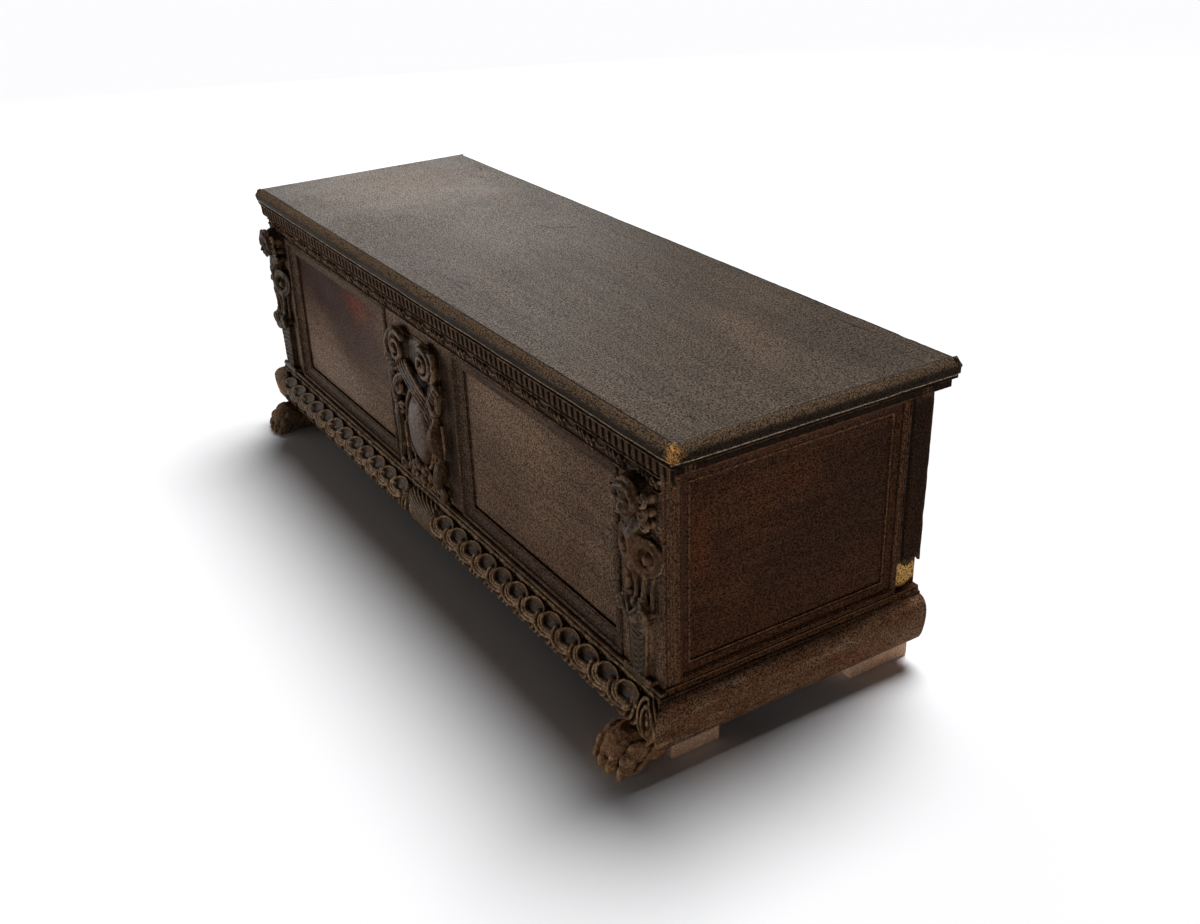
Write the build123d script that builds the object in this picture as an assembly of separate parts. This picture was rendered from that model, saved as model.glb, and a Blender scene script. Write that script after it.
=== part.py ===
"""A carved walnut chest (cassone) with a hinged lid, on two lion paws and four block feet.

Millimetres. X runs along the chest, -Y is its front and +Z is up. The origin is on the floor,
under the middle of the overall box. Every piece is a solid of its own, and each named node is
written to parts/ as a STEP file.
"""

import os
from math import cos, radians, sin

from build123d import *

# ---- carcase -----------------------------------------------------------------------------
body_length = 1618.0        # over the corner stiles
body_depth = 522.0          # front face to back face
body_top = 541.0            # height of the rim that the lid closes on
foot_height = 46.0          # floor to the underside of the carcase
front_thickness = 26.0      # rails and stiles of the front
end_thickness = 22.0
back_thickness = 22.0
bottom_thickness = 18.0
batten_width = 24.0         # battens that carry the bottom boards
batten_height = 22.0
end_setback = 10.0          # end board behind the edge of the corner stile

# ---- front frame -------------------------------------------------------------------------
corner_stile_width = 111.0
centre_stile_width = 290.0
top_rail_height = 54.0
bottom_rail_height = 104.0
tenon_thickness = 9.0
tenon_length = 30.0
tenon_shoulder = 16.0       # what is left of a rail above and below its tenon
panel_thickness = 9.0
panel_recess = 12.0         # front face of a panel behind the face of the frame
panel_groove = 10.0         # how far a panel enters its frame
reed_count = 3              # reeds down the edge of each corner stile
reed_radius = 2.4

# ---- planted mouldings -------------------------------------------------------------------
panel_moulding_width = 30.0
panel_moulding_proud = 3.0  # how far it stands in front of the frame
end_moulding_width = 28.0
end_strip_width = 51.0      # strip down the rear edge of each end
end_strip_thickness = 12.0
broken_strip_loss = 47.0    # length missing from the foot of the right-hand strip

# ---- base --------------------------------------------------------------------------------
base_round_height = 90.0    # gadrooned half-round, up from the underside of the carcase
base_front_projection = 35.0
base_end_projection = 27.0
half_round_facets = 3       # chisel facets above and below the fullest point
base_cap_height = 14.0      # stepped moulding above the half-round
base_cap_front_projection = 12.0
base_cap_end_projection = 8.0
gadroon_pitch = 57.0
gadroon_relief = 6.0
gadroon_gap = 9.0
gadroon_lean = 32.0         # degrees, each half leaning away from the middle
corner_leaf_length = 46.0

# ---- cornice and frieze ------------------------------------------------------------------
cornice_height = 28.0
cornice_front_projection = 7.0
cornice_end_projection = 33.0
flute_pitch = 17.5
flute_width = 6.0
flute_depth = 4.0
frieze_height = 26.0
frieze_ground = 3.0
frieze_relief = 5.0
leaf_pitch = 88.0

# ---- carvings ----------------------------------------------------------------------------
pilaster_width = 96.0
pilaster_offset = 49.0      # its axis in from the end of the body
volute_radius = 34.0
volute_depth = 30.0
volute_spread = 24.0        # each volute's centre from the pilaster's axis
pilaster_depth = 16.0
cartouche_width = 236.0
shield_width = 100.0
shield_height = 146.0
shield_depth = 22.0
shield_rim = 9.0
scroll_radius = 32.0
scroll_depth = 26.0
strap_width = 20.0
strap_depth = 15.0
carving_flats = 16          # chisel flats round a carved disc
fruit_spacing = 22.0        # between the fruits that hang under the shield

# ---- feet --------------------------------------------------------------------------------
paw_width = 87.0
paw_reach = 84.0            # toes in front of the body's face
paw_heel = 20.0             # heel behind the body's face
paw_crown = 62.0            # top of the paw in front of the half-round
paw_inset = 7.0             # its outer side in from the end of the body
toe_count = 4
block_length = 100.0
front_block_depth = 95.0
rear_block_depth = 130.0
block_inset = 9.0

# ---- lid and hinges ----------------------------------------------------------------------
lid_thickness = 34.0
lid_end_overhang = 41.0
lid_front_overhang = 12.0
lid_back_overhang = 14.0
lid_nosing_radius = 12.0
lid_lower_radius = 7.0
scribe_inset = 12.0         # line cut round the top
scribe_width = 1.6
scribe_depth = 0.8
lid_batten_width = 50.0
lid_batten_thickness = 20.0
lid_batten_clearance = 14.0 # between a batten's ends and the carcase
lid_batten_inset = 150.0    # batten in from the inside of the end
hinge_inset = 330.0         # hinge in from the end of the body
knuckle_radius = 6.5
pin_radius = 3.0
pin_clearance = 0.05
knuckle_length = 60.0       # all three knuckles
strap_thickness = 3.0
lid_strap_length = 230.0
lid_strap_width = 23.4
back_strap_height = 90.0
nail_head_width = 8.0
nail_head_height = 2.0
nail_shank_width = 3.0
nail_shank_length = 12.0
running_gap = 0.3

# ---- places worked out from the sizes ------------------------------------------------------
half_length = body_length / 2
overall_depth = paw_reach + body_depth + lid_back_overhang
front_y = paw_reach - overall_depth / 2
back_y = front_y + body_depth
front_inner_y = front_y + front_thickness
back_inner_y = back_y - back_thickness
end_outer_x = half_length - end_setback
end_inner_x = end_outer_x - end_thickness
stile_inner_x = half_length - corner_stile_width
centre_half = centre_stile_width / 2
rail_low_z = foot_height + bottom_rail_height
rail_high_z = body_top - top_rail_height
tenon_y = front_y + (front_thickness - tenon_thickness) / 2
panel_y = front_y + panel_recess
base_round_top = foot_height + base_round_height
base_cap_top = base_round_top + base_cap_height
cornice_low_z = body_top - cornice_height
frieze_low_z = cornice_low_z - frieze_height
pilaster_x = half_length - pilaster_offset
pilaster_low_z = base_cap_top
pilaster_height = frieze_low_z - pilaster_low_z
lid_half_length = half_length + lid_end_overhang
lid_front_y = front_y - lid_front_overhang
lid_back_y = back_y + lid_back_overhang
lid_top = body_top + lid_thickness
hinge_x = half_length - hinge_inset
hinge_y = back_y + knuckle_radius + running_gap
hinge_z = body_top - knuckle_radius
bottom_low_z = foot_height + batten_height

FACING_FRONT = Plane(origin=(0, 0, 0), x_dir=(1, 0, 0), z_dir=(0, -1, 0))
ACROSS_FRONT = Plane(origin=(0, front_y, 0), x_dir=(0, -1, 0), z_dir=(-1, 0, 0))
ACROSS_END = Plane(origin=(half_length, 0, 0), x_dir=(1, 0, 0), z_dir=(0, -1, 0))

os.makedirs("parts", exist_ok=True)


def save(name, *solids):
    """Write one node, as separate solids, to parts/name.step."""
    pieces = []
    for solid in solids:
        pieces.extend(solid.solids())
    export_step(Compound(children=pieces), f"parts/{name}.step")


def bar(x0, x1, y0, y1, z0, z1):
    """A straight board between two corners."""
    middle = Pos((x0 + x1) / 2, (y0 + y1) / 2, (z0 + z1) / 2)
    return middle * Box(x1 - x0, y1 - y0, z1 - z0)


def prism(points, z0, z1):
    """A vertical prism over a plan outline."""
    outline = make_face(Polyline(*points, close=True))
    return Pos(0, 0, z0) * extrude(outline, z1 - z0, dir=(0, 0, 1))


def relief(outline, depth, x=0.0, z=0.0):
    """A flat shape drawn on the plane y = 0 and raised towards the front."""
    return extrude(FACING_FRONT * Pos(x, z, 0) * outline, depth)


def domed(half_width, half_height, depth, x=0.0, z=0.0):
    """An oval raised shape with a gently crowned front, its edge about half its full depth."""
    radius = (half_height**2 + (depth * 0.55) ** 2) / (depth * 1.1)
    ball = Pos(x, radius - depth, z) * Sphere(radius)
    return relief(Ellipse(half_width, half_height), depth * 1.5, x, z) & ball


def mirrored(solid):
    """The same piece on the other side of the chest."""
    return mirror(solid, Plane.YZ)


# ---- moulding profiles: first number outwards, second number upwards or inwards ------------
def ogee(width, outer, inner):
    """Section of a planted moulding: bead, hollow and quirk, falling inwards."""
    bead = width * 0.3
    return make_face(
        [
            Line((0, 0), (outer, 0)),
            ThreePointArc((outer, 0), (outer + bead * 0.25, bead / 2), (outer, bead)),
            Line((outer, bead), (outer - 1.5, bead)),
            ThreePointArc(
                (outer - 1.5, bead),
                ((outer + inner) / 2 - 2.5, width * 0.6),
                (inner + 1.0, width * 0.85),
            ),
            Line((inner + 1.0, width * 0.85), (inner, width * 0.85)),
            Line((inner, width * 0.85), (inner, width)),
            Line((inner, width), (0, width)),
            Line((0, width), (0, 0)),
        ]
    )


def half_round(projection, low, high, belly):
    """Section of the base half-round; belly is the share of its height below the fullest point."""
    fullest = low + (high - low) * belly
    foot = projection * 0.25
    points = [(0, low)]
    for facet in range(-half_round_facets, half_round_facets + 1):
        turn = radians(90 * facet / half_round_facets)
        rise = high - fullest if facet > 0 else fullest - low
        points.append((foot + (projection - foot) * cos(turn), fullest + rise * sin(turn)))
    points.append((0, high))
    return make_face(Polyline(*points, close=True))


def stepped_cap(projection, low, high):
    """Section of the base cap: a fillet below, a hollow and a small fillet above."""
    step = (high - low) * 0.3
    return make_face(
        [
            Line((0, low), (projection, low)),
            Line((projection, low), (projection, low + step)),
            Line((projection, low + step), (projection * 0.75, low + step)),
            ThreePointArc(
                (projection * 0.75, low + step),
                (projection * 0.45, low + step * 1.7),
                (projection * 0.35, high - step * 0.6),
            ),
            Line((projection * 0.35, high - step * 0.6), (projection * 0.35, high)),
            Line((projection * 0.35, high), (0, high)),
            Line((0, high), (0, low)),
        ]
    )


def cornice_section(projection, low, high):
    """Section of the cornice on the ends: hollow below, upright face above."""
    face = (high - low) * 0.5
    return make_face(
        [
            Line((0, low), (projection * 0.2, low)),
            ThreePointArc(
                (projection * 0.2, low),
                (projection * 0.45, low + face * 0.75),
                (projection * 0.9, high - face),
            ),
            Line((projection * 0.9, high - face), (projection, high - face)),
            Line((projection, high - face), (projection, high)),
            Line((projection, high), (0, high)),
            Line((0, high), (0, low)),
        ]
    )


def mitred_frame(length, height, width, section):
    """Four mitred lengths of moulding round an opening, centred, raised towards -Y."""
    lengths = []
    for side, run, drop in (
        (0, length, height),
        (90, height, length),
        (180, length, height),
        (270, height, length),
    ):
        across = Plane(origin=(0, 0, 0), x_dir=(0, -1, 0), z_dir=(-1, 0, 0))
        stick = extrude(across * section, run / 2, both=True)
        reach = stick.bounding_box().size.Y + 1
        mitre = make_face(
            Polyline(
                (-run / 2, 0),
                (run / 2, 0),
                (run / 2 - width, width),
                (-run / 2 + width, width),
                close=True,
            )
        )
        upright = Plane(origin=(0, 1, 0), x_dir=(1, 0, 0), z_dir=(0, -1, 0))
        trimmed = stick & extrude(upright * mitre, reach + 1)
        lengths.append(Rot(0, side, 0) * Pos(0, 0, -drop / 2) * trimmed)
    return lengths


# ---- front frame and panels ----------------------------------------------------------------
def front_panel():
    """Right-hand panel, feathered into the grooves of its frame."""
    return bar(
        centre_half - panel_groove,
        stile_inner_x + panel_groove,
        panel_y,
        panel_y + panel_thickness,
        rail_low_z - panel_groove,
        rail_high_z + panel_groove,
    )


def front_rail(z0, z1):
    """Rail between the corner stiles, with a tenon at each end."""
    board = bar(-stile_inner_x, stile_inner_x, front_y, front_inner_y, z0, z1)
    tenon = bar(
        -stile_inner_x - tenon_length,
        stile_inner_x + tenon_length,
        tenon_y,
        tenon_y + tenon_thickness,
        z0 + tenon_shoulder,
        z1 - tenon_shoulder,
    )
    return board + tenon


def corner_stile():
    """Right-hand corner stile, reeded down the edge that shows on the end."""
    stile = bar(stile_inner_x, half_length, front_y, front_inner_y, foot_height, body_top)
    for reed in range(reed_count + 1):
        groove_y = front_y + front_thickness * (reed + 0.5) / (reed_count + 1)
        groove = Cylinder(reed_radius, body_top - base_cap_top)
        middle_z = (body_top + base_cap_top) / 2
        stile -= Pos(half_length + reed_radius * 0.4, groove_y, middle_z) * groove
    return stile


panel_right = front_panel()
panel_left = mirrored(panel_right)
rail_top = front_rail(rail_high_z, body_top)
rail_bottom = front_rail(foot_height, rail_low_z)
centre_stile = bar(-centre_half, centre_half, front_y, front_inner_y, rail_low_z, rail_high_z)
centre_tenon = bar(
    -centre_half + tenon_length,
    centre_half - tenon_length,
    tenon_y,
    tenon_y + tenon_thickness,
    rail_low_z - tenon_shoulder,
    rail_high_z + tenon_shoulder,
)
centre_stile += centre_tenon
stile_right = corner_stile() - rail_top - rail_bottom - panel_right
rail_top = rail_top - centre_stile - panel_right - panel_left
rail_bottom = rail_bottom - centre_stile - panel_right - panel_left
centre_stile = centre_stile - panel_right - panel_left

save("front_stile_right", stile_right)
save("front_stile_left", mirrored(stile_right))
save("front_stile_centre", centre_stile)
save("front_rail_top", rail_top)
save("front_rail_bottom", rail_bottom)
save("front_panel_right", panel_right)
save("front_panel_left", panel_left)

front_moulding = mitred_frame(
    stile_inner_x - centre_half,
    rail_high_z - rail_low_z,
    panel_moulding_width,
    ogee(panel_moulding_width, panel_recess + panel_moulding_proud, panel_recess * 0.45),
)
panel_middle = Pos((stile_inner_x + centre_half) / 2, panel_y, (rail_low_z + rail_high_z) / 2)
right_moulding = [panel_middle * piece for piece in front_moulding]
save("panel_moulding_right", *right_moulding)
save("panel_moulding_left", *[mirrored(piece) for piece in right_moulding])


# ---- ends, back and bottom -----------------------------------------------------------------
end_board = bar(end_inner_x, end_outer_x, front_inner_y, back_y, foot_height, body_top)
save("end_board_right", end_board)
save("end_board_left", mirrored(end_board))

end_field_low = base_cap_top
end_field_high = cornice_low_z
end_field_front = front_inner_y
end_field_back = back_y - end_strip_width
end_frame = mitred_frame(
    end_field_back - end_field_front,
    end_field_high - end_field_low,
    end_moulding_width,
    ogee(end_moulding_width, end_setback, end_setback * 0.3),
)
end_middle = Pos(
    end_outer_x,
    (end_field_front + end_field_back) / 2,
    (end_field_low + end_field_high) / 2,
)
right_end_moulding = [end_middle * Rot(0, 0, 90) * piece for piece in end_frame]
save("end_moulding_right", *right_end_moulding)
save("end_moulding_left", *[mirrored(piece) for piece in right_end_moulding])


def end_strip(loss):
    """Strip nailed down the rear edge of the right end, short by the length lost at its foot."""
    strip = bar(
        end_outer_x,
        end_outer_x + end_strip_thickness,
        end_field_back,
        back_y,
        end_field_low + loss,
        end_field_high,
    )
    bead = Cylinder(reed_radius, end_field_high - end_field_low)
    middle_z = (end_field_low + end_field_high) / 2
    outer_x = end_outer_x + end_strip_thickness
    strip -= Pos(outer_x, end_field_back + end_strip_width * 0.16, middle_z) * bead
    if loss > 0:
        tear = make_face(
            Polyline(
                (end_field_back - 1, end_field_low + loss),
                (end_field_back + end_strip_width * 0.4, end_field_low + loss * 1.35),
                (end_field_back + end_strip_width * 0.6, end_field_low + loss * 1.1),
                (back_y + 1, end_field_low + loss * 0.98),
                close=True,
            )
        )
        strip -= Pos(end_outer_x - 1, 0, 0) * extrude(Plane.YZ * tear, end_strip_thickness + 2)
    return strip


save("end_strip_right", end_strip(broken_strip_loss))
save("end_strip_left", mirrored(end_strip(0)))

hinge_notch_half = lid_strap_width / 2 + running_gap
hinge_notch = bar(
    hinge_x - hinge_notch_half,
    hinge_x + hinge_notch_half,
    back_inner_y - 1,
    back_y + 1,
    body_top - strap_thickness - running_gap,
    body_top + 1,
)
back_joint_z = foot_height + (body_top - foot_height) * 0.48
back_upper = bar(-end_inner_x, end_inner_x, back_inner_y, back_y, back_joint_z, body_top)
back_upper = back_upper - hinge_notch - mirrored(hinge_notch)
back_lower = bar(-end_inner_x, end_inner_x, back_inner_y, back_y, foot_height, back_joint_z)

bottom_boards = []
bottom_board_count = 3
bottom_depth = back_inner_y - front_inner_y
for board in range(bottom_board_count):
    board_y = front_inner_y + bottom_depth * board / bottom_board_count
    bottom_boards.append(
        bar(
            -end_inner_x,
            end_inner_x,
            board_y,
            board_y + bottom_depth / bottom_board_count,
            bottom_low_z,
            bottom_low_z + bottom_thickness,
        )
    )
save("bottom_board_front", bottom_boards[0])
save("bottom_board_middle", bottom_boards[1])
save("bottom_board_back", bottom_boards[2])

batten_front = bar(
    -end_inner_x,
    end_inner_x,
    front_inner_y,
    front_inner_y + batten_width,
    foot_height,
    bottom_low_z,
)
batten_back = bar(
    -end_inner_x,
    end_inner_x,
    back_inner_y - batten_width,
    back_inner_y,
    foot_height,
    bottom_low_z,
)
save("bottom_batten_front", batten_front)
save("bottom_batten_back", batten_back)


# ---- base mouldings --------------------------------------------------------------------------
def corner_wedge(front_out, end_out, low, high):
    """Plan of what lies in front of the front face, mitred at both corners."""
    return prism(
        [
            (-half_length, front_y),
            (half_length, front_y),
            (half_length + end_out, front_y - front_out),
            (-half_length - end_out, front_y - front_out),
        ],
        low,
        high,
    )


def end_plan(front_out, end_out, low, high):
    """Plan of what lies outside the right end, mitred at the front corner."""
    return prism(
        [
            (end_outer_x, back_y),
            (end_outer_x, front_inner_y),
            (half_length, front_inner_y),
            (half_length, front_y),
            (half_length + end_out, front_y - front_out),
            (half_length + end_out, back_y),
        ],
        low,
        high,
    )


def front_stick(section, end_out):
    """A section run along the front, long enough to be mitred."""
    return extrude(ACROSS_FRONT * section, half_length + end_out, both=True)


def end_stick(section, front_out):
    """A section run along the right end, with a flat back that meets the set-back board."""
    run = extrude(ACROSS_END * section, body_depth + front_out, both=True)
    low = run.bounding_box().min.Z
    high = run.bounding_box().max.Z
    return run + bar(end_outer_x, half_length, front_inner_y, back_y, low, high)


front_belly = 0.5
end_belly = 0.72
round_section = half_round(base_front_projection, foot_height, base_round_top, front_belly)
round_core = half_round(
    base_front_projection - gadroon_relief, foot_height, base_round_top, front_belly
)
wedge = corner_wedge(base_front_projection, base_end_projection, foot_height, base_round_top)


def gadroon_row():
    """Leaning lobes over a lower core, mirrored about the middle, with a leaf at each corner."""
    core_stick = front_stick(round_core, base_end_projection)
    full_stick = front_stick(round_section, base_end_projection)
    lobes_to = half_length - corner_leaf_length
    count = int(lobes_to / gadroon_pitch)
    slab_height = base_round_height * 2
    slab_width = (gadroon_pitch - gadroon_gap) * cos(radians(gadroon_lean))
    lobes = []
    for index in range(count):
        lobe_x = gadroon_pitch * (index + 0.5)
        slab = Box(slab_width, base_front_projection * 3, slab_height)
        middle_z = foot_height + base_round_height / 2
        placed = Pos(lobe_x, front_y, middle_z) * Rot(0, gadroon_lean, 0) * slab
        lobes.append(full_stick & placed)
    lobes.append(
        full_stick
        & bar(
            lobes_to,
            half_length + base_end_projection,
            front_y - base_front_projection,
            front_y,
            foot_height,
            base_round_top,
        )
    )
    right = lobes[0].fuse(*lobes[1:]) if len(lobes) > 1 else lobes[0]
    return (core_stick + right + mirrored(right)) & wedge


save("base_gadroon_front", gadroon_row())

end_round = end_stick(
    half_round(base_end_projection, foot_height, base_round_top, end_belly),
    base_front_projection,
)
end_round = end_round & end_plan(
    base_front_projection, base_end_projection, foot_height, base_round_top
)
save("base_round_right", end_round)
save("base_round_left", mirrored(end_round))

front_cap = front_stick(
    stepped_cap(base_cap_front_projection, base_round_top, base_cap_top),
    base_cap_end_projection,
)
front_cap = front_cap & corner_wedge(
    base_cap_front_projection, base_cap_end_projection, base_round_top, base_cap_top
)
save("base_cap_front", front_cap)

end_cap = end_stick(
    stepped_cap(base_cap_end_projection, base_round_top, base_cap_top),
    base_cap_front_projection,
)
end_cap = end_cap & end_plan(
    base_cap_front_projection, base_cap_end_projection, base_round_top, base_cap_top
)
save("base_cap_right", end_cap)
save("base_cap_left", mirrored(end_cap))


# ---- cornice and frieze ------------------------------------------------------------------------
def fluted_cornice():
    """Front cornice: a row of tongues with pointed feet on a thin ground."""
    half = half_length + cornice_end_projection
    count = int(2 * half / flute_pitch)
    pitch = 2 * half / count
    foot = (pitch - flute_width) * 0.35
    tongue_foot = cornice_low_z + foot
    points = [(-half, body_top)]
    for index in range(count):
        left = -half + pitch * index + flute_width / 2
        right = -half + pitch * (index + 1) - flute_width / 2
        points += [
            (left, body_top - 3),
            (left, tongue_foot),
            ((left + right) / 2, cornice_low_z),
            (right, tongue_foot),
            (right, body_top - 3),
        ]
    points += [(half, body_top)]
    tongues = relief(make_face(Polyline(*points, close=True)), cornice_front_projection)
    ground_depth = cornice_front_projection - flute_depth
    ground = bar(-half, half, -ground_depth, 0, cornice_low_z, body_top)
    return Pos(0, front_y, 0) * (tongues + ground)


save("cornice_front", fluted_cornice())

end_cornice = end_stick(
    cornice_section(cornice_end_projection, cornice_low_z, body_top), 0
) & bar(
    end_outer_x,
    half_length + cornice_end_projection,
    front_y,
    back_y,
    cornice_low_z,
    body_top,
)
end_cornice = end_cornice - stile_right
save("cornice_right", end_cornice)
save("cornice_left", mirrored(end_cornice))


def frieze_band():
    """Carved band: one curling leaf after another on a thin ground."""
    ground = bar(-half_length, half_length, -frieze_ground, 0, frieze_low_z, cornice_low_z)
    count = int(body_length / leaf_pitch)
    pitch = body_length / count
    rise = frieze_height * 0.42
    blade = make_face(
        [
            ThreePointArc((-pitch * 0.44, -rise * 0.6), (0, rise), (pitch * 0.44, -rise * 0.2)),
            Line((pitch * 0.44, -rise * 0.2), (pitch * 0.28, -rise)),
            Line((pitch * 0.28, -rise), (0, -rise * 0.4)),
            Line((0, -rise * 0.4), (-pitch * 0.44, -rise * 0.6)),
        ]
    )
    middle_z = (frieze_low_z + cornice_low_z) / 2
    leaves = []
    for index in range(count):
        leaf_x = -half_length + pitch * (index + 0.5)
        leaves.append(relief(blade, frieze_ground + frieze_relief, leaf_x, middle_z))
    return Pos(0, front_y, 0) * ground.fuse(*leaves)


save("frieze_carving", frieze_band())


# ---- carved pilasters --------------------------------------------------------------------------
def disc(radius):
    """A round outline as a chisel leaves it, in short flats."""
    return RegularPolygon(radius, carving_flats)


def volute(x, z, radius, depth):
    """A ring with a sunk channel and a boss."""
    channel = disc(radius * 0.76)
    ring = relief(disc(radius) - channel, depth, x, z)
    floor = relief(channel, depth * 0.7, x, z)
    boss = relief(disc(radius * 0.36), depth * 1.08, x, z)
    return ring + floor + boss


def strap(start, middle, end, width, depth):
    """A curved band of strapwork through three points."""
    return relief(SlotArc(ThreePointArc(start, middle, end), width), depth)


def pilaster():
    """Right-hand pilaster: half figure over two volutes, strapwork, collar and tapering shaft."""
    half = pilaster_width / 2

    def up(share):
        return pilaster_height * share

    plinth = bar(-half, half, -pilaster_depth, 0, up(0), up(0.05))
    shaft = relief(
        make_face(
            Polyline(
                (-half * 0.5, up(0.05)),
                (half * 0.5, up(0.05)),
                (half * 0.72, up(0.3)),
                (-half * 0.72, up(0.3)),
                close=True,
            )
        ),
        pilaster_depth * 0.85,
    )
    collar = relief(
        make_face(
            [
                Line((-half * 0.78, up(0.36)), (half * 0.78, up(0.36))),
                Line((half * 0.78, up(0.36)), (half * 0.92, up(0.3))),
                ThreePointArc(
                    (half * 0.92, up(0.3)),
                    (0, up(0.25)),
                    (-half * 0.92, up(0.3)),
                ),
                Line((-half * 0.92, up(0.3)), (-half * 0.78, up(0.36))),
            ]
        ),
        pilaster_depth * 1.5,
    )
    waist = relief(
        make_face(
            [
                Line((-half * 0.6, up(0.35)), (half * 0.6, up(0.35))),
                ThreePointArc(
                    (half * 0.6, up(0.35)),
                    (half * 0.36, up(0.45)),
                    (half * 0.6, up(0.55)),
                ),
                Line((half * 0.6, up(0.55)), (-half * 0.6, up(0.55))),
                ThreePointArc(
                    (-half * 0.6, up(0.55)),
                    (-half * 0.36, up(0.45)),
                    (-half * 0.6, up(0.35)),
                ),
            ]
        ),
        pilaster_depth * 0.9,
    )
    volutes = []
    for side in (-1, 1):
        volutes.append(volute(side * volute_spread, up(0.64), volute_radius, volute_depth))
        volutes.append(
            strap(
                (side * half * 0.62, up(0.56)),
                (side * half * 0.3, up(0.46)),
                (side * half * 0.5, up(0.37)),
                strap_width * 0.5,
                pilaster_depth * 1.2,
            )
        )
    torso = relief(
        make_face(
            Polyline(
                (-half * 0.5, up(0.66)),
                (half * 0.5, up(0.66)),
                (half * 0.68, up(0.82)),
                (-half * 0.68, up(0.82)),
                close=True,
            )
        ),
        pilaster_depth * 1.1,
    )
    head = domed(pilaster_width * 0.25, pilaster_width * 0.31, pilaster_width * 0.28, 0, up(0.86))
    cap = bar(-half, half, -pilaster_depth * 1.3, 0, up(0.93), up(1))
    lobes = []
    for lobe in (-1, 0, 1):
        lobe_x = lobe * pilaster_width * 0.31
        lobes.append(relief(disc(pilaster_width * 0.17), pilaster_depth * 1.15, lobe_x, up(0.92)))
    return plinth.fuse(shaft, collar, waist, torso, head, cap, *volutes, *lobes)


pilaster_right = Pos(pilaster_x, front_y, pilaster_low_z) * pilaster()
save("pilaster_right", pilaster_right)
save("pilaster_left", mirrored(pilaster_right))


# ---- cartouche ---------------------------------------------------------------------------------
def cartouche():
    """Domed oval shield held in volutes, crossing straps and long side scrolls."""
    half = cartouche_width / 2

    def up(share):
        return pilaster_height * share

    shield_z = up(0.4)
    ground = relief(Ellipse(half * 0.8, pilaster_height * 0.42), strap_depth * 0.35, 0, up(0.46))
    rim = Ellipse(shield_width / 2 + shield_rim, shield_height / 2 + shield_rim)
    rim -= Ellipse(shield_width / 2, shield_height / 2)
    frame = relief(rim, strap_depth * 0.9, 0, shield_z)
    dome = domed(shield_width / 2, shield_height / 2, shield_depth, 0, shield_z)
    shapes = [frame, dome]
    for side in (-1, 1):
        shapes.append(volute(side * half * 0.56, up(0.86), scroll_radius, scroll_depth))
        curl = disc(scroll_radius * 0.55)
        shapes.append(relief(curl, scroll_depth * 0.8, side * half * 0.72, up(0.08)))
        shapes.append(
            strap(
                (side * half * 0.75, up(0.78)),
                (side * half * 0.5, up(0.68)),
                (-side * half * 0.12, up(0.66)),
                strap_width,
                strap_depth * 1.15,
            )
        )
        shapes.append(
            strap(
                (side * half * 0.8, up(0.78)),
                (side * half * 0.92, up(0.6)),
                (side * half * 0.74, up(0.44)),
                strap_width,
                strap_depth,
            )
        )
        shapes.append(
            strap(
                (side * half * 0.74, up(0.44)),
                (side * half * 0.58, up(0.26)),
                (side * half * 0.72, up(0.1)),
                strap_width,
                strap_depth,
            )
        )
    for fruit in (-1, 0, 1):
        drop = up(0.09 if fruit else 0.06)
        berry = disc(strap_width * 0.62)
        shapes.append(relief(berry, strap_depth * 1.2, fruit * fruit_spacing, drop))
    stem = relief(Rectangle(strap_width * 1.4, pilaster_height * 0.14), strap_depth * 0.8, 0, up(0.13))
    shapes.append(stem)
    return Pos(0, front_y, pilaster_low_z) * ground.fuse(*shapes)


save("cartouche", cartouche())


# ---- feet ----------------------------------------------------------------------------------------
def paw():
    """Right-hand lion paw: side-by-side toes with claws, seated under the half-round."""
    outer_x = half_length - paw_inset
    toe_width = paw_width / toe_count
    heel_y = front_y + paw_heel
    toes = []
    for toe in range(toe_count):
        middle = (abs(2 * toe - toe_count + 1) - (toe_count + 1) % 2) / (2 * toe_count)
        tip_y = front_y - paw_reach * (1 - 0.3 * middle)
        crown_z = paw_crown * (1 - 0.12 * middle)
        left = outer_x - paw_width + toe * toe_width
        side_view = make_face(
            [
                Line((heel_y, 0), (heel_y, foot_height)),
                Line((heel_y, foot_height), (front_y - 2, foot_height)),
                Line((front_y - 2, foot_height), (front_y - paw_reach * 0.25, crown_z)),
                ThreePointArc(
                    (front_y - paw_reach * 0.25, crown_z),
                    (tip_y + paw_reach * 0.17, crown_z * 0.78),
                    (tip_y, crown_z * 0.3),
                ),
                Line((tip_y, crown_z * 0.3), (tip_y + paw_reach * 0.08, 0)),
                Line((tip_y + paw_reach * 0.08, 0), (heel_y, 0)),
            ]
        )
        front_view = make_face(
            [
                Line((left, 0), (left, crown_z * 0.72)),
                ThreePointArc(
                    (left, crown_z * 0.72),
                    (left + toe_width / 2, crown_z),
                    (left + toe_width, crown_z * 0.72),
                ),
                Line((left + toe_width, crown_z * 0.72), (left + toe_width, 0)),
                Line((left + toe_width, 0), (left, 0)),
            ]
        )
        lump = Pos(left, 0, 0) * extrude(Plane.YZ * side_view, toe_width)
        arch = extrude(Plane.XZ.offset(-heel_y) * front_view, paw_reach * 2)
        toes.append(lump & arch)
    return toes[0].fuse(*toes[1:])


base_front_solid = front_stick(round_section, base_end_projection)
paw_right = paw() - base_front_solid
save("lion_paw_right", paw_right)
save("lion_paw_left", mirrored(paw_right))

block_outer_x = half_length - block_inset
front_block_y = front_y + paw_heel
front_block = bar(
    block_outer_x - block_length,
    block_outer_x,
    front_block_y,
    front_block_y + front_block_depth,
    0,
    foot_height,
)
rear_block = bar(
    block_outer_x - block_length,
    block_outer_x,
    back_y - rear_block_depth,
    back_y,
    0,
    foot_height,
)
save("foot_block_front_right", front_block)
save("foot_block_front_left", mirrored(front_block))
save("foot_block_rear_right", rear_block)
save("foot_block_rear_left", mirrored(rear_block))


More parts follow.
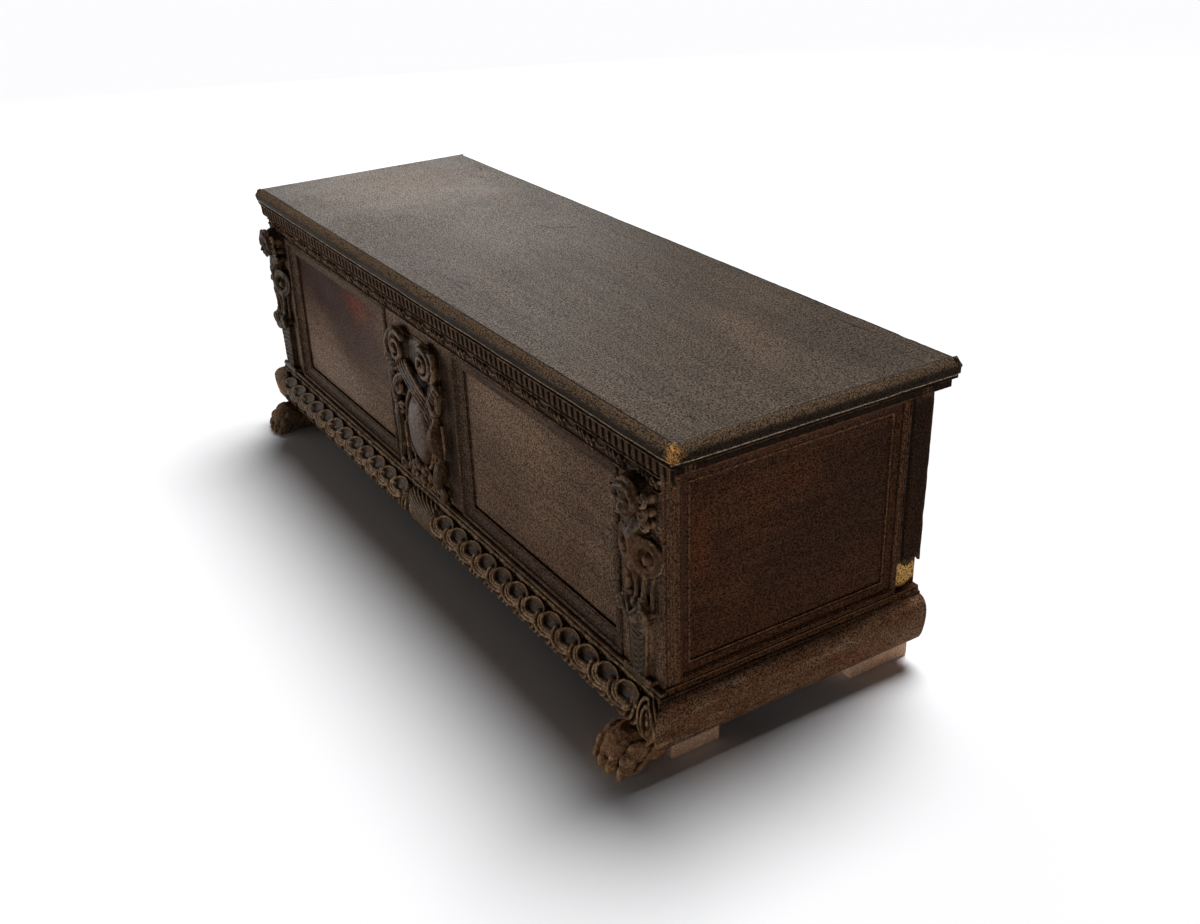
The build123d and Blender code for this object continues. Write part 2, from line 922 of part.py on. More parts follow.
# ---- hinges ----------------------------------------------------------------------------------------
def knuckle(x0, x1, radius):
    """A length of hinge barrel, bored for the pin."""
    barrel = Rot(0, 90, 0) * Cylinder(radius, x1 - x0)
    return Pos((x0 + x1) / 2, hinge_y, hinge_z) * barrel


def nail(x, y, z, tilt):
    """A square forged nail, its faceted head on the iron and its shank in the wood."""
    head = Pos(0, 0, nail_head_height / 2) * Box(nail_head_width, nail_head_width, nail_head_height)
    head = chamfer(head.edges().group_by(Axis.Z)[-1], nail_head_height * 0.6)
    shank_length = nail_shank_length + strap_thickness
    shank = Box(nail_shank_width, nail_shank_width, shank_length)
    shank = Pos(0, 0, -shank_length / 2) * shank
    return Pos(x, y, z) * Rot(tilt, 0, 0) * (head + shank)


bore = knuckle(hinge_x - knuckle_length, hinge_x + knuckle_length, pin_radius + pin_clearance)
pin = knuckle(hinge_x - knuckle_length / 2 - 2, hinge_x + knuckle_length / 2 + 2, pin_radius)

strap_half = lid_strap_width / 2
strap_far_y = hinge_y - lid_strap_length
strap_outline = make_face(
    Polyline(
        (hinge_x - strap_half, hinge_y),
        (hinge_x + strap_half, hinge_y),
        (hinge_x + strap_half, back_inner_y),
        (hinge_x + strap_half * 0.55, strap_far_y + strap_half),
        (hinge_x, strap_far_y),
        (hinge_x - strap_half * 0.55, strap_far_y + strap_half),
        (hinge_x - strap_half, back_inner_y),
        close=True,
    )
)
lid_strap = Pos(0, 0, body_top - strap_thickness) * extrude(
    strap_outline, strap_thickness, dir=(0, 0, 1)
)
lid_strap = lid_strap + knuckle(hinge_x - strap_half, hinge_x + strap_half, knuckle_radius) - bore

back_strap = bar(
    hinge_x - knuckle_length / 2,
    hinge_x + knuckle_length / 2,
    back_y,
    back_y + strap_thickness,
    hinge_z - back_strap_height,
    hinge_z,
)
back_strap -= knuckle(
    hinge_x - strap_half - running_gap,
    hinge_x + strap_half + running_gap,
    knuckle_radius + running_gap,
)
for side in (-1, 1):
    inner_x = hinge_x + side * (strap_half + running_gap)
    outer_x = hinge_x + side * knuckle_length / 2
    back_strap += knuckle(min(inner_x, outer_x), max(inner_x, outer_x), knuckle_radius)
back_strap -= bore

lid_nails = []
for share in (0.25, 0.55, 0.85):
    nail_y = hinge_y - lid_strap_length * share
    lid_nails.append(nail(hinge_x, nail_y, body_top - strap_thickness, 180))
back_nails = []
for across, down in ((-0.3, 0.3), (0.3, 0.3), (-0.3, 0.8), (0.3, 0.8)):
    nail_x = hinge_x + across * knuckle_length
    nail_z = hinge_z - back_strap_height * down
    back_nails.append(nail(nail_x, back_y + strap_thickness, nail_z, -90))

for nail_solid in lid_nails:
    lid_strap -= nail_solid
for nail_solid in back_nails:
    back_strap -= nail_solid
    back_upper = back_upper - nail_solid - mirrored(nail_solid)

save("back_board_upper", back_upper)
save("back_board_lower", back_lower)
save("hinge_lid_strap_right", lid_strap)
save("hinge_lid_strap_left", mirrored(lid_strap))
save("hinge_back_strap_right", back_strap)
save("hinge_back_strap_left", mirrored(back_strap))
save("hinge_pin_right", pin)
save("hinge_pin_left", mirrored(pin))
save("hinge_nails_lid", *lid_nails, *[mirrored(piece) for piece in lid_nails])
save("hinge_nails_back", *back_nails, *[mirrored(piece) for piece in back_nails])


# ---- lid -------------------------------------------------------------------------------------------
def lid_board():
    """One wide board with a rounded edge and a line cut round its top."""
    board = bar(-lid_half_length, lid_half_length, lid_front_y, lid_back_y, body_top, lid_top)
    upper = board.faces().sort_by(Axis.Z)[-1].edges()
    board = fillet(upper, lid_nosing_radius)
    lower = board.faces().sort_by(Axis.Z)[0].edges()
    board = fillet(lower, lid_lower_radius)
    outer = bar(
        -lid_half_length + scribe_inset,
        lid_half_length - scribe_inset,
        lid_front_y + scribe_inset,
        lid_back_y - scribe_inset,
        lid_top - scribe_depth,
        lid_top + 1,
    )
    inner = bar(
        -lid_half_length + scribe_inset + scribe_width,
        lid_half_length - scribe_inset - scribe_width,
        lid_front_y + scribe_inset + scribe_width,
        lid_back_y - scribe_inset - scribe_width,
        lid_top - scribe_depth - 1,
        lid_top + 2,
    )
    return board - (outer - inner)


lid = lid_board()
for nail_solid in lid_nails:
    lid = lid - nail_solid - mirrored(nail_solid)
save("lid_board", lid)

lid_batten_x = end_inner_x - lid_batten_inset
lid_batten = bar(
    lid_batten_x - lid_batten_width,
    lid_batten_x,
    front_inner_y + lid_batten_clearance,
    back_inner_y - lid_batten_clearance,
    body_top - lid_batten_thickness,
    body_top,
)
save("lid_batten_right", lid_batten)
save("lid_batten_left", mirrored(lid_batten))

print("overall", 2 * lid_half_length, overall_depth, lid_top)
print("hinge axis", hinge_x, hinge_y, hinge_z)
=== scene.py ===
from math import cos, pi, radians, sin

import bmesh
import bpy
import numpy as np
from bpy.props import FloatProperty, FloatVectorProperty, PointerProperty
from mathutils import Matrix, Vector, noise


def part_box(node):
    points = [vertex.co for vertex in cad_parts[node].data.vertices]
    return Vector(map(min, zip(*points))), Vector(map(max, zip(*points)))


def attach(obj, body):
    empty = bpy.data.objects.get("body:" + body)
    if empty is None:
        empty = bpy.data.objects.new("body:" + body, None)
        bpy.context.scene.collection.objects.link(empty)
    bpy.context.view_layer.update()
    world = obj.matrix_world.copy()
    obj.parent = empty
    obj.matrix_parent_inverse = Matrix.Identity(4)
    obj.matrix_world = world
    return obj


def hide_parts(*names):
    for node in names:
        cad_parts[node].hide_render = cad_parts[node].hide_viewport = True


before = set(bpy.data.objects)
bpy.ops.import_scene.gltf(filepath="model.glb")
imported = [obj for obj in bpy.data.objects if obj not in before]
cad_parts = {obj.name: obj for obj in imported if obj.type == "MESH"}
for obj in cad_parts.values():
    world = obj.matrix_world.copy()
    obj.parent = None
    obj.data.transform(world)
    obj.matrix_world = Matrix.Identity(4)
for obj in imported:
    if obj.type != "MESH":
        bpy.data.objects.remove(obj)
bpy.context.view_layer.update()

bl_info = {
    "name": "Carved Walnut Chest",
    "version": (1, 0, 0),
    "blender": (4, 5, 0),
    "location": "3D View > Sidebar > Chest",
    "description": "Carvings, worn surfaces and a plain stage for a walnut chest",
    "category": "Object",
}

MM = 0.001

# ---- places read from the frame --------------------------------------------------------------
STILE_LOW, STILE_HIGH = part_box("front_stile_right")
END_LOW, END_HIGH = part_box("end_board_right")
BACK_LOW, BACK_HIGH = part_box("back_board_upper")
ROUND_LOW, ROUND_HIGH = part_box("base_round_right")
BASE_LOW, BASE_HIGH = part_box("base_gadroon_front")
CORNICE_LOW, CORNICE_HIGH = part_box("cornice_front")
FRIEZE_LOW, FRIEZE_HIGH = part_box("frieze_carving")
PILASTER_LOW, PILASTER_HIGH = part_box("pilaster_right")
PAW_LOW, PAW_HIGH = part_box("lion_paw_right")
LID_LOW, LID_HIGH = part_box("lid_board")

FACE_Y = STILE_LOW.y                 # face of the front frame
BODY_X = STILE_HIGH.x                # end of the body
PILASTER_X = (PILASTER_LOW.x + PILASTER_HIGH.x) / 2
RELIEF_FOOT = PILASTER_LOW.z / MM    # top of the base cap, on which the carvings stand
INSIDE_X = END_LOW.x                 # inner face of an end
INSIDE_FRONT = STILE_HIGH.y          # inner face of the front
INSIDE_BACK = BACK_LOW.y             # inner face of the back


# ---- what a user may change -------------------------------------------------------------------
def length(name, description, default, least, most):
    """A size in the user's own unit of length."""
    return FloatProperty(
        name=name, description=description, default=default, min=least, max=most, unit="LENGTH")


def tint_of(name, description, default):
    """A colour that a user may pick."""
    return FloatVectorProperty(
        name=name, description=description, default=default, min=0.0, max=1.0, subtype="COLOR")


class ChestSizes(bpy.types.PropertyGroup):
    """Sizes of the carving and of its wear"""

    carving_grain: length(
        "Carving grain", "Size of the facets that carvings are fused at", 0.0016, 0.001, 0.004)
    tongue_pitch: length(
        "Tongue pitch", "Distance between tongues of the cornice", 0.0175, 0.01, 0.03)
    leaf_pitch: length("Leaf pitch", "Distance between leaves of the frieze", 0.085, 0.05, 0.15)
    lobe_pitch: length("Lobe pitch", "Distance between lobes of the base", 0.057, 0.04, 0.08)
    corner_leaf: length(
        "Corner leaf", "Length of the leaf at each end of the base", 0.052, 0.03, 0.09)
    lobe_relief: length("Lobe relief", "Depth of the carving of the base", 0.015, 0.003, 0.018)
    lid_wear: length("Lid wear", "How far the edge of the lid is rubbed away", 0.0016, 0.0, 0.004)
    scribe_inset: length(
        "Scribe inset", "Line round the lid, in from its rounded edge", 0.012, 0.005, 0.03)


class ChestColours(bpy.types.PropertyGroup):
    """Colours of the wood and of the stage"""

    lid: tint_of("Lid", "Grey-brown of the lid", (0.075, 0.053, 0.037))
    front: tint_of("Front", "Brown of the front boards", (0.110, 0.068, 0.044))
    end: tint_of("End", "Red-brown of the end boards", (0.050, 0.020, 0.009))
    carving: tint_of("Carving", "Brown of the carved pieces", (0.052, 0.027, 0.014))
    inside: tint_of("Inside", "Unpolished wood inside the chest", (0.155, 0.093, 0.052))
    block: tint_of("Block", "Pink-brown of the foot blocks", (0.60, 0.375, 0.245))
    worn: tint_of("Worn", "Tan wood where the finish is rubbed away", (0.210, 0.118, 0.056))
    raw: tint_of("Raw", "Yellow raw wood where a piece has broken off", (0.460, 0.260, 0.080))
    iron: tint_of("Iron", "Dark forged iron", (0.030, 0.027, 0.025))
    floor: tint_of("Floor", "Pale floor", (0.93, 0.93, 0.945))


# ---- shader nodes -----------------------------------------------------------------------------
def rgba(colour, share=1.0):
    """A colour made darker or lighter by a share, as a colour socket takes it."""
    return (*(channel * share for channel in colour), 1.0)


class Graph:
    """Short calls that add nodes to one tree and join them."""

    def __init__(self, tree):
        self.tree = tree

    def feed(self, sockets, values):
        """Joins values to the sockets of those names, or sets the socket where one is plain."""
        for key, value in values.items():
            if isinstance(value, bpy.types.NodeSocket):
                self.tree.links.new(value, sockets[key])
            else:
                sockets[key].default_value = value

    def node(self, kind, inputs=None, **settings):
        added = self.tree.nodes.new(kind)
        for key, value in settings.items():
            setattr(added, key, value)
        self.feed(added.inputs, inputs or {})
        return added

    def math(self, operation, *values, clamp=False):
        inputs = dict(enumerate(values))
        return self.node("ShaderNodeMath", inputs, operation=operation, use_clamp=clamp).outputs[0]

    def vectors(self, operation, *values):
        inputs = dict(enumerate(values))
        return self.node("ShaderNodeVectorMath", inputs, operation=operation).outputs

    def split(self, vector):
        return self.node("ShaderNodeSeparateXYZ", {0: vector}).outputs

    def place(self):
        return self.node("ShaderNodeTexCoord").outputs["Object"]

    def mix(self, factor, first, second, blend="MIX"):
        return self.node(
            "ShaderNodeMix", {0: factor, 6: first, 7: second}, data_type="RGBA",
            blend_type=blend).outputs[2]

    def lay(self, colour, tint, mask, strength=1.0):
        """The colour with a tint over it where the mask is, by a share."""
        return self.mix(self.math("MULTIPLY", mask, strength), colour, rgba(tint))

    def ramp(self, value, low, high, to_low=0.0, to_high=1.0):
        return self.node(
            "ShaderNodeMapRange",
            {"Value": value, "From Min": low, "From Max": high, "To Min": to_low,
             "To Max": to_high},
            interpolation_type="SMOOTHSTEP").outputs["Result"]

    def noise(self, vector, scale, detail=3.0, roughness=0.55, distortion=0.0):
        return self.node(
            "ShaderNodeTexNoise",
            {"Vector": vector, "Scale": scale, "Detail": detail, "Roughness": roughness,
             "Distortion": distortion}).outputs["Fac"]


def new_group(name, inputs, outputs):
    """An empty shader node group: its graph, entry and exit. An input is a number or a vector."""
    tree = bpy.data.node_groups.new(name, "ShaderNodeTree")
    for label, default in inputs.items():
        kind = "NodeSocketFloat" if isinstance(default, float) else "NodeSocketVector"
        socket = tree.interface.new_socket(name=label, in_out="INPUT", socket_type=kind)
        if default is not None:
            socket.default_value = default
    for label in outputs:
        tree.interface.new_socket(name=label, in_out="OUTPUT", socket_type="NodeSocketFloat")
    graph = Graph(tree)
    entry = graph.node("NodeGroupInput").outputs
    return graph, entry, graph.node("NodeGroupOutput").inputs


def grain_group():
    """Wood grain stretched along one axis: long figure, short pores and broad clouds."""
    graph, entry, leave = new_group(
        "wood grain", {"Vector": None, "Stretch": (3.0, 60.0, 60.0), "Cloud Scale": 4.0},
        ("Figure", "Pores", "Clouds"))
    stretched = graph.vectors("MULTIPLY", entry["Vector"], entry["Stretch"])[0]
    figure = graph.noise(stretched, 1.0, detail=4.0, roughness=0.6, distortion=0.6)
    fine = graph.vectors("MULTIPLY", stretched, (5.0, 6.0, 6.0))[0]
    pores = graph.noise(fine, 1.0, detail=2.0)
    clouds = graph.noise(entry["Vector"], entry["Cloud Scale"], detail=4.0, roughness=0.6)
    graph.feed(leave, {
        "Figure": graph.ramp(figure, 0.3, 0.72), "Pores": graph.ramp(pores, 0.42, 0.30),
        "Clouds": graph.ramp(clouds, 0.35, 0.68)})
    return graph.tree


def wear_and_painted_light_group():
    """Rubbed edges and crests, partly painted highlight, and painted shade with grime in hollows,
    from the carved crest value and the rounded edge normal.
    """
    graph, entry, leave = new_group(
        "edge wear", {"Vector": None, "Edge Radius": 0.0025, "Amount": 1.0, "Patchiness": 45.0},
        ("Worn", "Grime"))
    crest = graph.node("ShaderNodeAttribute", attribute_name="crest").outputs["Fac"]
    bevel = graph.node("ShaderNodeBevel", {"Radius": entry["Edge Radius"]}, samples=4)
    flat = graph.node("ShaderNodeNewGeometry")
    turn = graph.vectors("DOT_PRODUCT", bevel.outputs["Normal"], flat.outputs["Normal"])["Value"]
    either = graph.math("MAXIMUM", graph.ramp(turn, 0.985, 0.80), graph.ramp(crest, 0.16, 0.85))
    patches = graph.ramp(graph.noise(entry["Vector"], entry["Patchiness"], detail=3.0), 0.38, 0.62)
    rubbed = graph.math("MULTIPLY", either, graph.math("MULTIPLY_ADD", patches, 0.75, 0.25))
    graph.feed(leave, {
        # Worn is rubbed wood and, on crests, partly painted highlight; Grime is painted shade with
        # grime in hollows.
        "Worn": graph.math("MULTIPLY", rubbed, entry["Amount"], clamp=True),
        "Grime": graph.ramp(crest, -0.02, -0.50)})
    return graph.tree


def fleck_group():
    """Fine dark pores and pale dust specks, a little longer along the grain."""
    graph, entry, leave = new_group(
        "fine flecks", {"Vector": None, "Stretch": (3.0, 60.0, 60.0)}, ("Dark", "Pale", "Mottle"))
    even = graph.vectors("ADD", entry["Stretch"], (110.0, 110.0, 110.0))[0]
    close = graph.vectors("MULTIPLY", entry["Vector"], even)[0]
    dark = graph.noise(close, 2.6, detail=2.0, roughness=0.7)
    pale = graph.noise(close, 3.4, detail=2.0, roughness=0.7, distortion=0.4)
    mottle = graph.noise(close, 2.3, detail=3.0, roughness=0.9)
    graph.feed(leave, {
        "Mottle": graph.ramp(mottle, 0.41, 0.59), "Dark": graph.ramp(dark, 0.50, 0.34),
        "Pale": graph.ramp(pale, 0.54, 0.72)})
    return graph.tree


def spot_group():
    """A ragged oval patch round a place: a crack, a stain or a rubbed spot."""
    graph, entry, leave = new_group(
        "ragged spot",
        {"Vector": None, "Place": (0.0, 0.0, 0.0), "Turn": (0.0, 0.0, 0.0),
         "Reach": (0.1, 0.1, 0.1), "Ragged": 0.4, "Softness": 0.5, "Scale": 20.0}, ("Mask",))
    offset = graph.vectors("SUBTRACT", entry["Vector"], entry["Place"])[0]
    turned = graph.node(
        "ShaderNodeVectorRotate", {"Vector": offset, "Rotation": entry["Turn"]},
        rotation_type="EULER_XYZ").outputs[0]
    away = graph.vectors("LENGTH", graph.vectors("DIVIDE", turned, entry["Reach"])[0])["Value"]
    rough = graph.math("SUBTRACT", graph.noise(entry["Vector"], entry["Scale"], detail=5.0), 0.5)
    reach = graph.math("ADD", away, graph.math("MULTIPLY", rough, entry["Ragged"]))
    inner = graph.math("SUBTRACT", 1.0, entry["Softness"])
    graph.feed(leave, {"Mask": graph.ramp(reach, inner, 1.0, 1.0, 0.0)})
    return graph.tree


GROUP_MAKERS = {
    "wood grain": grain_group, "edge wear": wear_and_painted_light_group, "fine flecks": fleck_group,
    "ragged spot": spot_group}
GROUPS = {}


def use_group(graph, name, inputs):
    """Outputs of a shared node group, which is made on first use."""
    if name not in GROUPS:
        GROUPS[name] = GROUP_MAKERS[name]()
    return graph.node("ShaderNodeGroup", inputs, node_tree=GROUPS[name]).outputs


def spot(graph, vector, place, reach, turn, ragged, softness, scale):
    """Mask of one ragged spot, turned about the vertical."""
    return use_group(graph, "ragged spot", {
        "Vector": vector, "Place": place, "Turn": (0.0, 0.0, turn), "Reach": reach,
        "Ragged": ragged, "Softness": softness, "Scale": scale})["Mask"]


def spots(graph, vector, colour, rows, ragged, softness, scale):
    """Lays ragged spots over a colour, from rows of place, reach, tint and strength."""
    for place, reach, tint, strength in rows:
        mask = spot(graph, vector, place, reach, 0.0, ragged, softness, scale)
        colour = graph.lay(colour, tint, mask, strength)
    return colour


def inset_from(graph, vector, low, high, axes):
    """Distance in from the nearest side of a box, along the axes named."""
    places = graph.split(vector)
    inset = 1.0
    for axis in axes:
        for side in (low, high):
            line = getattr(side, axis.lower())
            away = graph.math("ABSOLUTE", graph.math("SUBTRACT", places[axis], line))
            inset = graph.math("MINIMUM", away, inset)
    return inset


def line_on(graph, colour, value, line, width, tint, strength):
    """Draws a thin line of another colour where the value passes the line."""
    away = graph.math("ABSOLUTE", graph.math("SUBTRACT", value, line))
    return graph.lay(colour, tint, graph.ramp(away, width, width * 0.3), strength)


# ---- finishes ---------------------------------------------------------------------------------
ALONG_X = (2.6, 55.0, 55.0)
ALONG_Y = (55.0, 2.6, 55.0)
ALONG_Z = (55.0, 55.0, 2.6)
# Near-black for hollows and gaps: painted shade, with grime.
SHADE_AND_GRIME = (0.005, 0.0035, 0.0025)
DUST = (0.13, 0.098, 0.070)
BROWN_SHINE = (1.0, 0.84, 0.68)
SCRIBE_MARGIN = 0.002                # the scribed line lies this much further in than the edge
LID_POLISH = 0.50


def new_material(name):
    """A material, its graph and the sockets of its shader."""
    material = bpy.data.materials.new(name)
    material.use_nodes = True
    shader = material.node_tree.nodes["Principled BSDF"]
    return material, Graph(material.node_tree), shader.inputs


def aged_wood(name, base, stretch, worn, dark=0.45, light=1.55, edge=1.0, rough=0.5,
              red=(0.060, 0.020, 0.009), redness=0.35, marks=None, patchiness=45.0, cloud=4.0,
              shine=0.015, mottle=0.78, clouding=0.55, edge_radius=0.0025, cuts=0.0, inside=None,
              polish=None):
    """Old polished wood: grain, cloudy tone, red glow, rubbed edges and crests partly as painted
    highlight, painted shade with grime in hollows, and marks.
    """
    material, graph, shader = new_material(name)
    vector = graph.place()
    grain = use_group(
        graph, "wood grain", {"Vector": vector, "Stretch": stretch, "Cloud Scale": cloud})
    wear = use_group(graph, "edge wear", {
        "Vector": vector, "Amount": edge, "Patchiness": patchiness, "Edge Radius": edge_radius})
    flecks = use_group(graph, "fine flecks", {"Vector": vector, "Stretch": stretch})
    figure = graph.mix(grain["Figure"], rgba(base, dark), rgba(base, light))
    tone = graph.mix(grain["Clouds"], rgba(base, 0.72), rgba(base, 1.25))
    colour = graph.mix(clouding, figure, tone)
    glow = graph.ramp(graph.noise(vector, cloud * 0.8, detail=3.0, distortion=0.8), 0.48, 0.75)
    # Laid in turn: red tone, pores, the worn tint on edges and crests (partly painted highlight),
    # near-black in hollows (painted shade with grime), dark and pale specks.
    for tint, mask, strength in (
        (red, glow, redness), (rgba(base, 0.25)[:3], grain["Pores"], 0.55),
        (worn, wear["Worn"], 0.85), (SHADE_AND_GRIME, wear["Grime"], 0.92),
        (rgba(base, 0.3)[:3], flecks["Dark"], 0.42), (DUST, flecks["Pale"], 0.22),
    ):
        colour = graph.lay(colour, tint, mask, strength)
    if marks:
        colour = marks(graph, vector, colour)
    cast = graph.ramp(flecks["Mottle"], 0.0, 1.0, 1.0 - mottle, 1.0 + mottle * 1.15)
    colour = graph.mix(1.0, colour, cast, "MULTIPLY")
    if inside:
        bare = bpy.context.scene.chest_colours.inside
        plain = graph.mix(grain["Figure"], rgba(bare, 0.72), rgba(bare, 1.2))
        colour = graph.mix(inside(graph, vector), colour, plain)
    scuffed = graph.math("MULTIPLY_ADD", grain["Clouds"], 0.16, rough - 0.08)
    roughness = graph.math("ADD", scuffed, graph.math("MULTIPLY", wear["Worn"], 0.12), clamp=True)
    height = graph.math("MULTIPLY", grain["Pores"], -1.0)
    height = graph.math("ADD", height, graph.math("MULTIPLY", grain["Figure"], 0.5))
    if cuts:
        chisel = graph.noise(vector, 190.0, detail=2.0, distortion=0.5)
        height = graph.math("MULTIPLY_ADD", chisel, cuts, height)
    bump = graph.node("ShaderNodeBump", {"Strength": 0.28, "Distance": 0.0009, "Height": height})
    graph.feed(shader, {
        "Base Color": colour, "Roughness": roughness, "Normal": bump.outputs["Normal"],
        "Specular IOR Level": shine, "Specular Tint": rgba(BROWN_SHINE)})
    if polish:
        weight = polish(graph, vector, flecks["Mottle"])
        graph.feed(shader, {"Coat Weight": weight, "Coat Roughness": 0.46, "Coat IOR": 1.3})
    return material


def lid_polish(graph, vector, mottle):
    """Soft shine on the flat of the lid, inside the scribed line only, and broken by its specks."""
    inset = inset_from(graph, vector, LID_LOW, LID_HIGH, ("X", "Y"))
    scribe = bpy.context.scene.chest_sizes.scribe_inset + SCRIBE_MARGIN
    shine = graph.ramp(inset, scribe - 0.001, scribe + 0.001, 0.0, LID_POLISH)
    return graph.math("MULTIPLY", shine, graph.math("MULTIPLY_ADD", mottle, 1.5, 0.15))


LID_PATCHES = (                      # place and reach along and across, turn, tint, strength
    # The first two rows are painted sheen, paler towards the lid's left end; the last row makes the
    # far right end darker; the rest are stained and rubbed patches.
    (-0.66, 0.04, 0.34, 0.30, 0.0, (0.180, 0.135, 0.100), 0.65),
    (-0.22, 0.04, 0.34, 0.26, 0.0, (0.125, 0.094, 0.070), 0.40),
    (0.58, 0.106, 0.20, 0.060, 0.35, (0.118, 0.076, 0.050), 0.45),
    (-0.42, 0.19, 0.17, 0.07, 0.2, (0.125, 0.080, 0.052), 0.40),
    (-0.64, 0.14, 0.10, 0.06, 0.0, (0.135, 0.090, 0.062), 0.40),
    (0.14, -0.115, 0.20, 0.04, 0.12, (0.105, 0.072, 0.050), 0.40),
    (0.62, -0.20, 0.16, 0.03, 0.0, (0.090, 0.056, 0.034), 0.40),
    (0.70, 0.20, 0.26, 0.12, 0.0, (0.034, 0.026, 0.020), 0.45),
)
LID_CRACKS = (                       # place and reach along and across, turn
    (0.076, -0.165, 0.050, 0.0042, 0.05), (0.064, -0.150, 0.030, 0.0036, -0.25),
    (-0.128, 0.175, 0.060, 0.0060, -0.9), (-0.150, 0.150, 0.040, 0.0048, -0.3),
    (-0.680, 0.270, 0.034, 0.0050, 0.2), (-0.600, 0.235, 0.028, 0.0040, -0.2),
    (0.780, -0.157, 0.020, 0.0034, -0.45), (0.650, 0.268, 0.075, 0.0045, -0.03),
)


def lid_marks(graph, vector, colour):
    """Cracks, knots, stained and rubbed patches, painted sheen at the left end, dark edges, a
    painted highlight along the lower arris and a bare corner of the lid.
    """
    top = LID_HIGH.z
    # Stained and rubbed patches, and painted sheen towards the left end.
    for x, y, along, across, turn, tint, strength in LID_PATCHES:
        mask = spot(graph, vector, (x, y, top), (along, across, 0.05), turn, 0.9, 0.85, 14.0)
        colour = graph.lay(colour, tint, mask, strength)
    for x, y, along, across, turn in LID_CRACKS:
        mask = spot(graph, vector, (x, y, top), (along, across, 0.01), turn, 0.9, 0.7, 55.0)
        colour = graph.lay(colour, (0.012, 0.009, 0.007), mask, 0.85)
    height = graph.split(vector)["Z"]
    scribe = bpy.context.scene.chest_sizes.scribe_inset + SCRIBE_MARGIN
    inset = inset_from(graph, vector, LID_LOW, LID_HIGH, ("X", "Y"))
    rim = graph.ramp(inset, scribe + 0.0006, scribe - 0.0006)
    colour = graph.lay(colour, (0.100, 0.064, 0.038), rim, 0.62)
    fall = graph.ramp(height, top - 0.0085, top - 0.0165)
    colour = graph.lay(colour, (0.012, 0.0075, 0.005), fall, 0.93)
    colour = line_on(graph, colour, inset, scribe, 0.0022, (0.010, 0.007, 0.005), 0.85)
    # Painted highlight along the lower arris of the lid's edge.
    colour = line_on(graph, colour, height, top - 0.0284, 0.0024, (0.34, 0.26, 0.19), 0.7)
    corner = (LID_HIGH.x - 0.003, LID_LOW.y + 0.004, top - 0.012)
    rows = [(corner, (0.028, 0.024, 0.020), (0.44, 0.21, 0.060), 1.0)]
    return spots(graph, vector, colour, rows, 1.5, 0.9, 90.0)


def underside_mask(graph, vector):
    """One on the unpolished face under the lid."""
    return graph.math("LESS_THAN", graph.split(vector)["Z"], LID_LOW.z + 0.0008)


def inside_mask(graph, vector):
    """One on faces that look into the chest."""
    axes = graph.split(vector)
    slack = 0.0006
    along = graph.math("LESS_THAN", graph.math("ABSOLUTE", axes["X"]), INSIDE_X + slack)
    behind = graph.math("GREATER_THAN", axes["Y"], INSIDE_FRONT - slack)
    ahead = graph.math("LESS_THAN", axes["Y"], INSIDE_BACK + slack)
    return graph.math("MULTIPLY", along, graph.math("MULTIPLY", behind, ahead))


def end_marks(graph, vector, colour):
    """Raw yellow wood by the broken strip, a red glow, painted shade under the lid along the top,
    and shade on the panel.
    """
    end = END_HIGH.x
    colour = spots(graph, vector, colour, (
        ((end, -0.155, 0.37), (0.05, 0.045, 0.085), (0.100, 0.030, 0.012), 0.42),
        ((end, 0.04, 0.425), (0.05, 0.07, 0.030), (0.095, 0.026, 0.011), 0.35)), 0.8, 0.9, 14.0)
    # Painted shade under the lid: darker towards the top of the end.
    shade_under_lid = graph.ramp(graph.split(vector)["Z"], 0.462, 0.502, 0.0, 0.6)
    colour = graph.lay(colour, (0.012, 0.007, 0.0045), shade_under_lid)
    shade = [((end, 0.14, 0.33), (0.05, 0.24, 0.20), (0.018, 0.0105, 0.0065), 0.5)]
    colour = spots(graph, vector, colour, shade, 0.6, 0.9, 8.0)
    raw = bpy.context.scene.chest_colours.raw
    bare = [((end, BACK_HIGH.y - 0.026, 0.176), (0.01, 0.034, 0.026), raw, 1.0)]
    return spots(graph, vector, colour, bare, 0.5, 0.25, 60.0)


def moulding_marks(graph, vector, colour):
    """Painted shade under the lid and in drawn grooves, and rubbed pale arrises along the mouldings
    of the ends.
    """
    height = graph.split(vector)["Z"]
    inset = inset_from(graph, vector, *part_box("end_moulding_right"), ("Y", "Z"))
    low, high = CORNICE_LOW.z, CORNICE_HIGH.z
    # Painted shade under the lid, from the foot of the cornice upwards.
    colour = graph.lay(colour, (0.012, 0.006, 0.0035), graph.ramp(height, low - 0.0015, low), 0.92)
    # Dark lines are painted shade of grooves; pale lines are rubbed arrises.
    for value, width, tint, strength, lines in (
        (height, 0.0022, (0.006, 0.003, 0.002), 0.6, (high - 0.0046, high - 0.0172)),
        (height, 0.0020, (0.120, 0.060, 0.030), 0.6,
         (high - 0.0014, high - 0.0143, low + 0.0012)),
        (inset, 0.0022, (0.008, 0.004, 0.0025), 0.6, (0.0110, 0.0236)),
        (inset, 0.0022, (0.130, 0.066, 0.033), 0.45, (0.0016, 0.0080, 0.0262)),
    ):
        for line in lines:
            colour = line_on(graph, colour, value, line, width, tint, strength)
    return colour


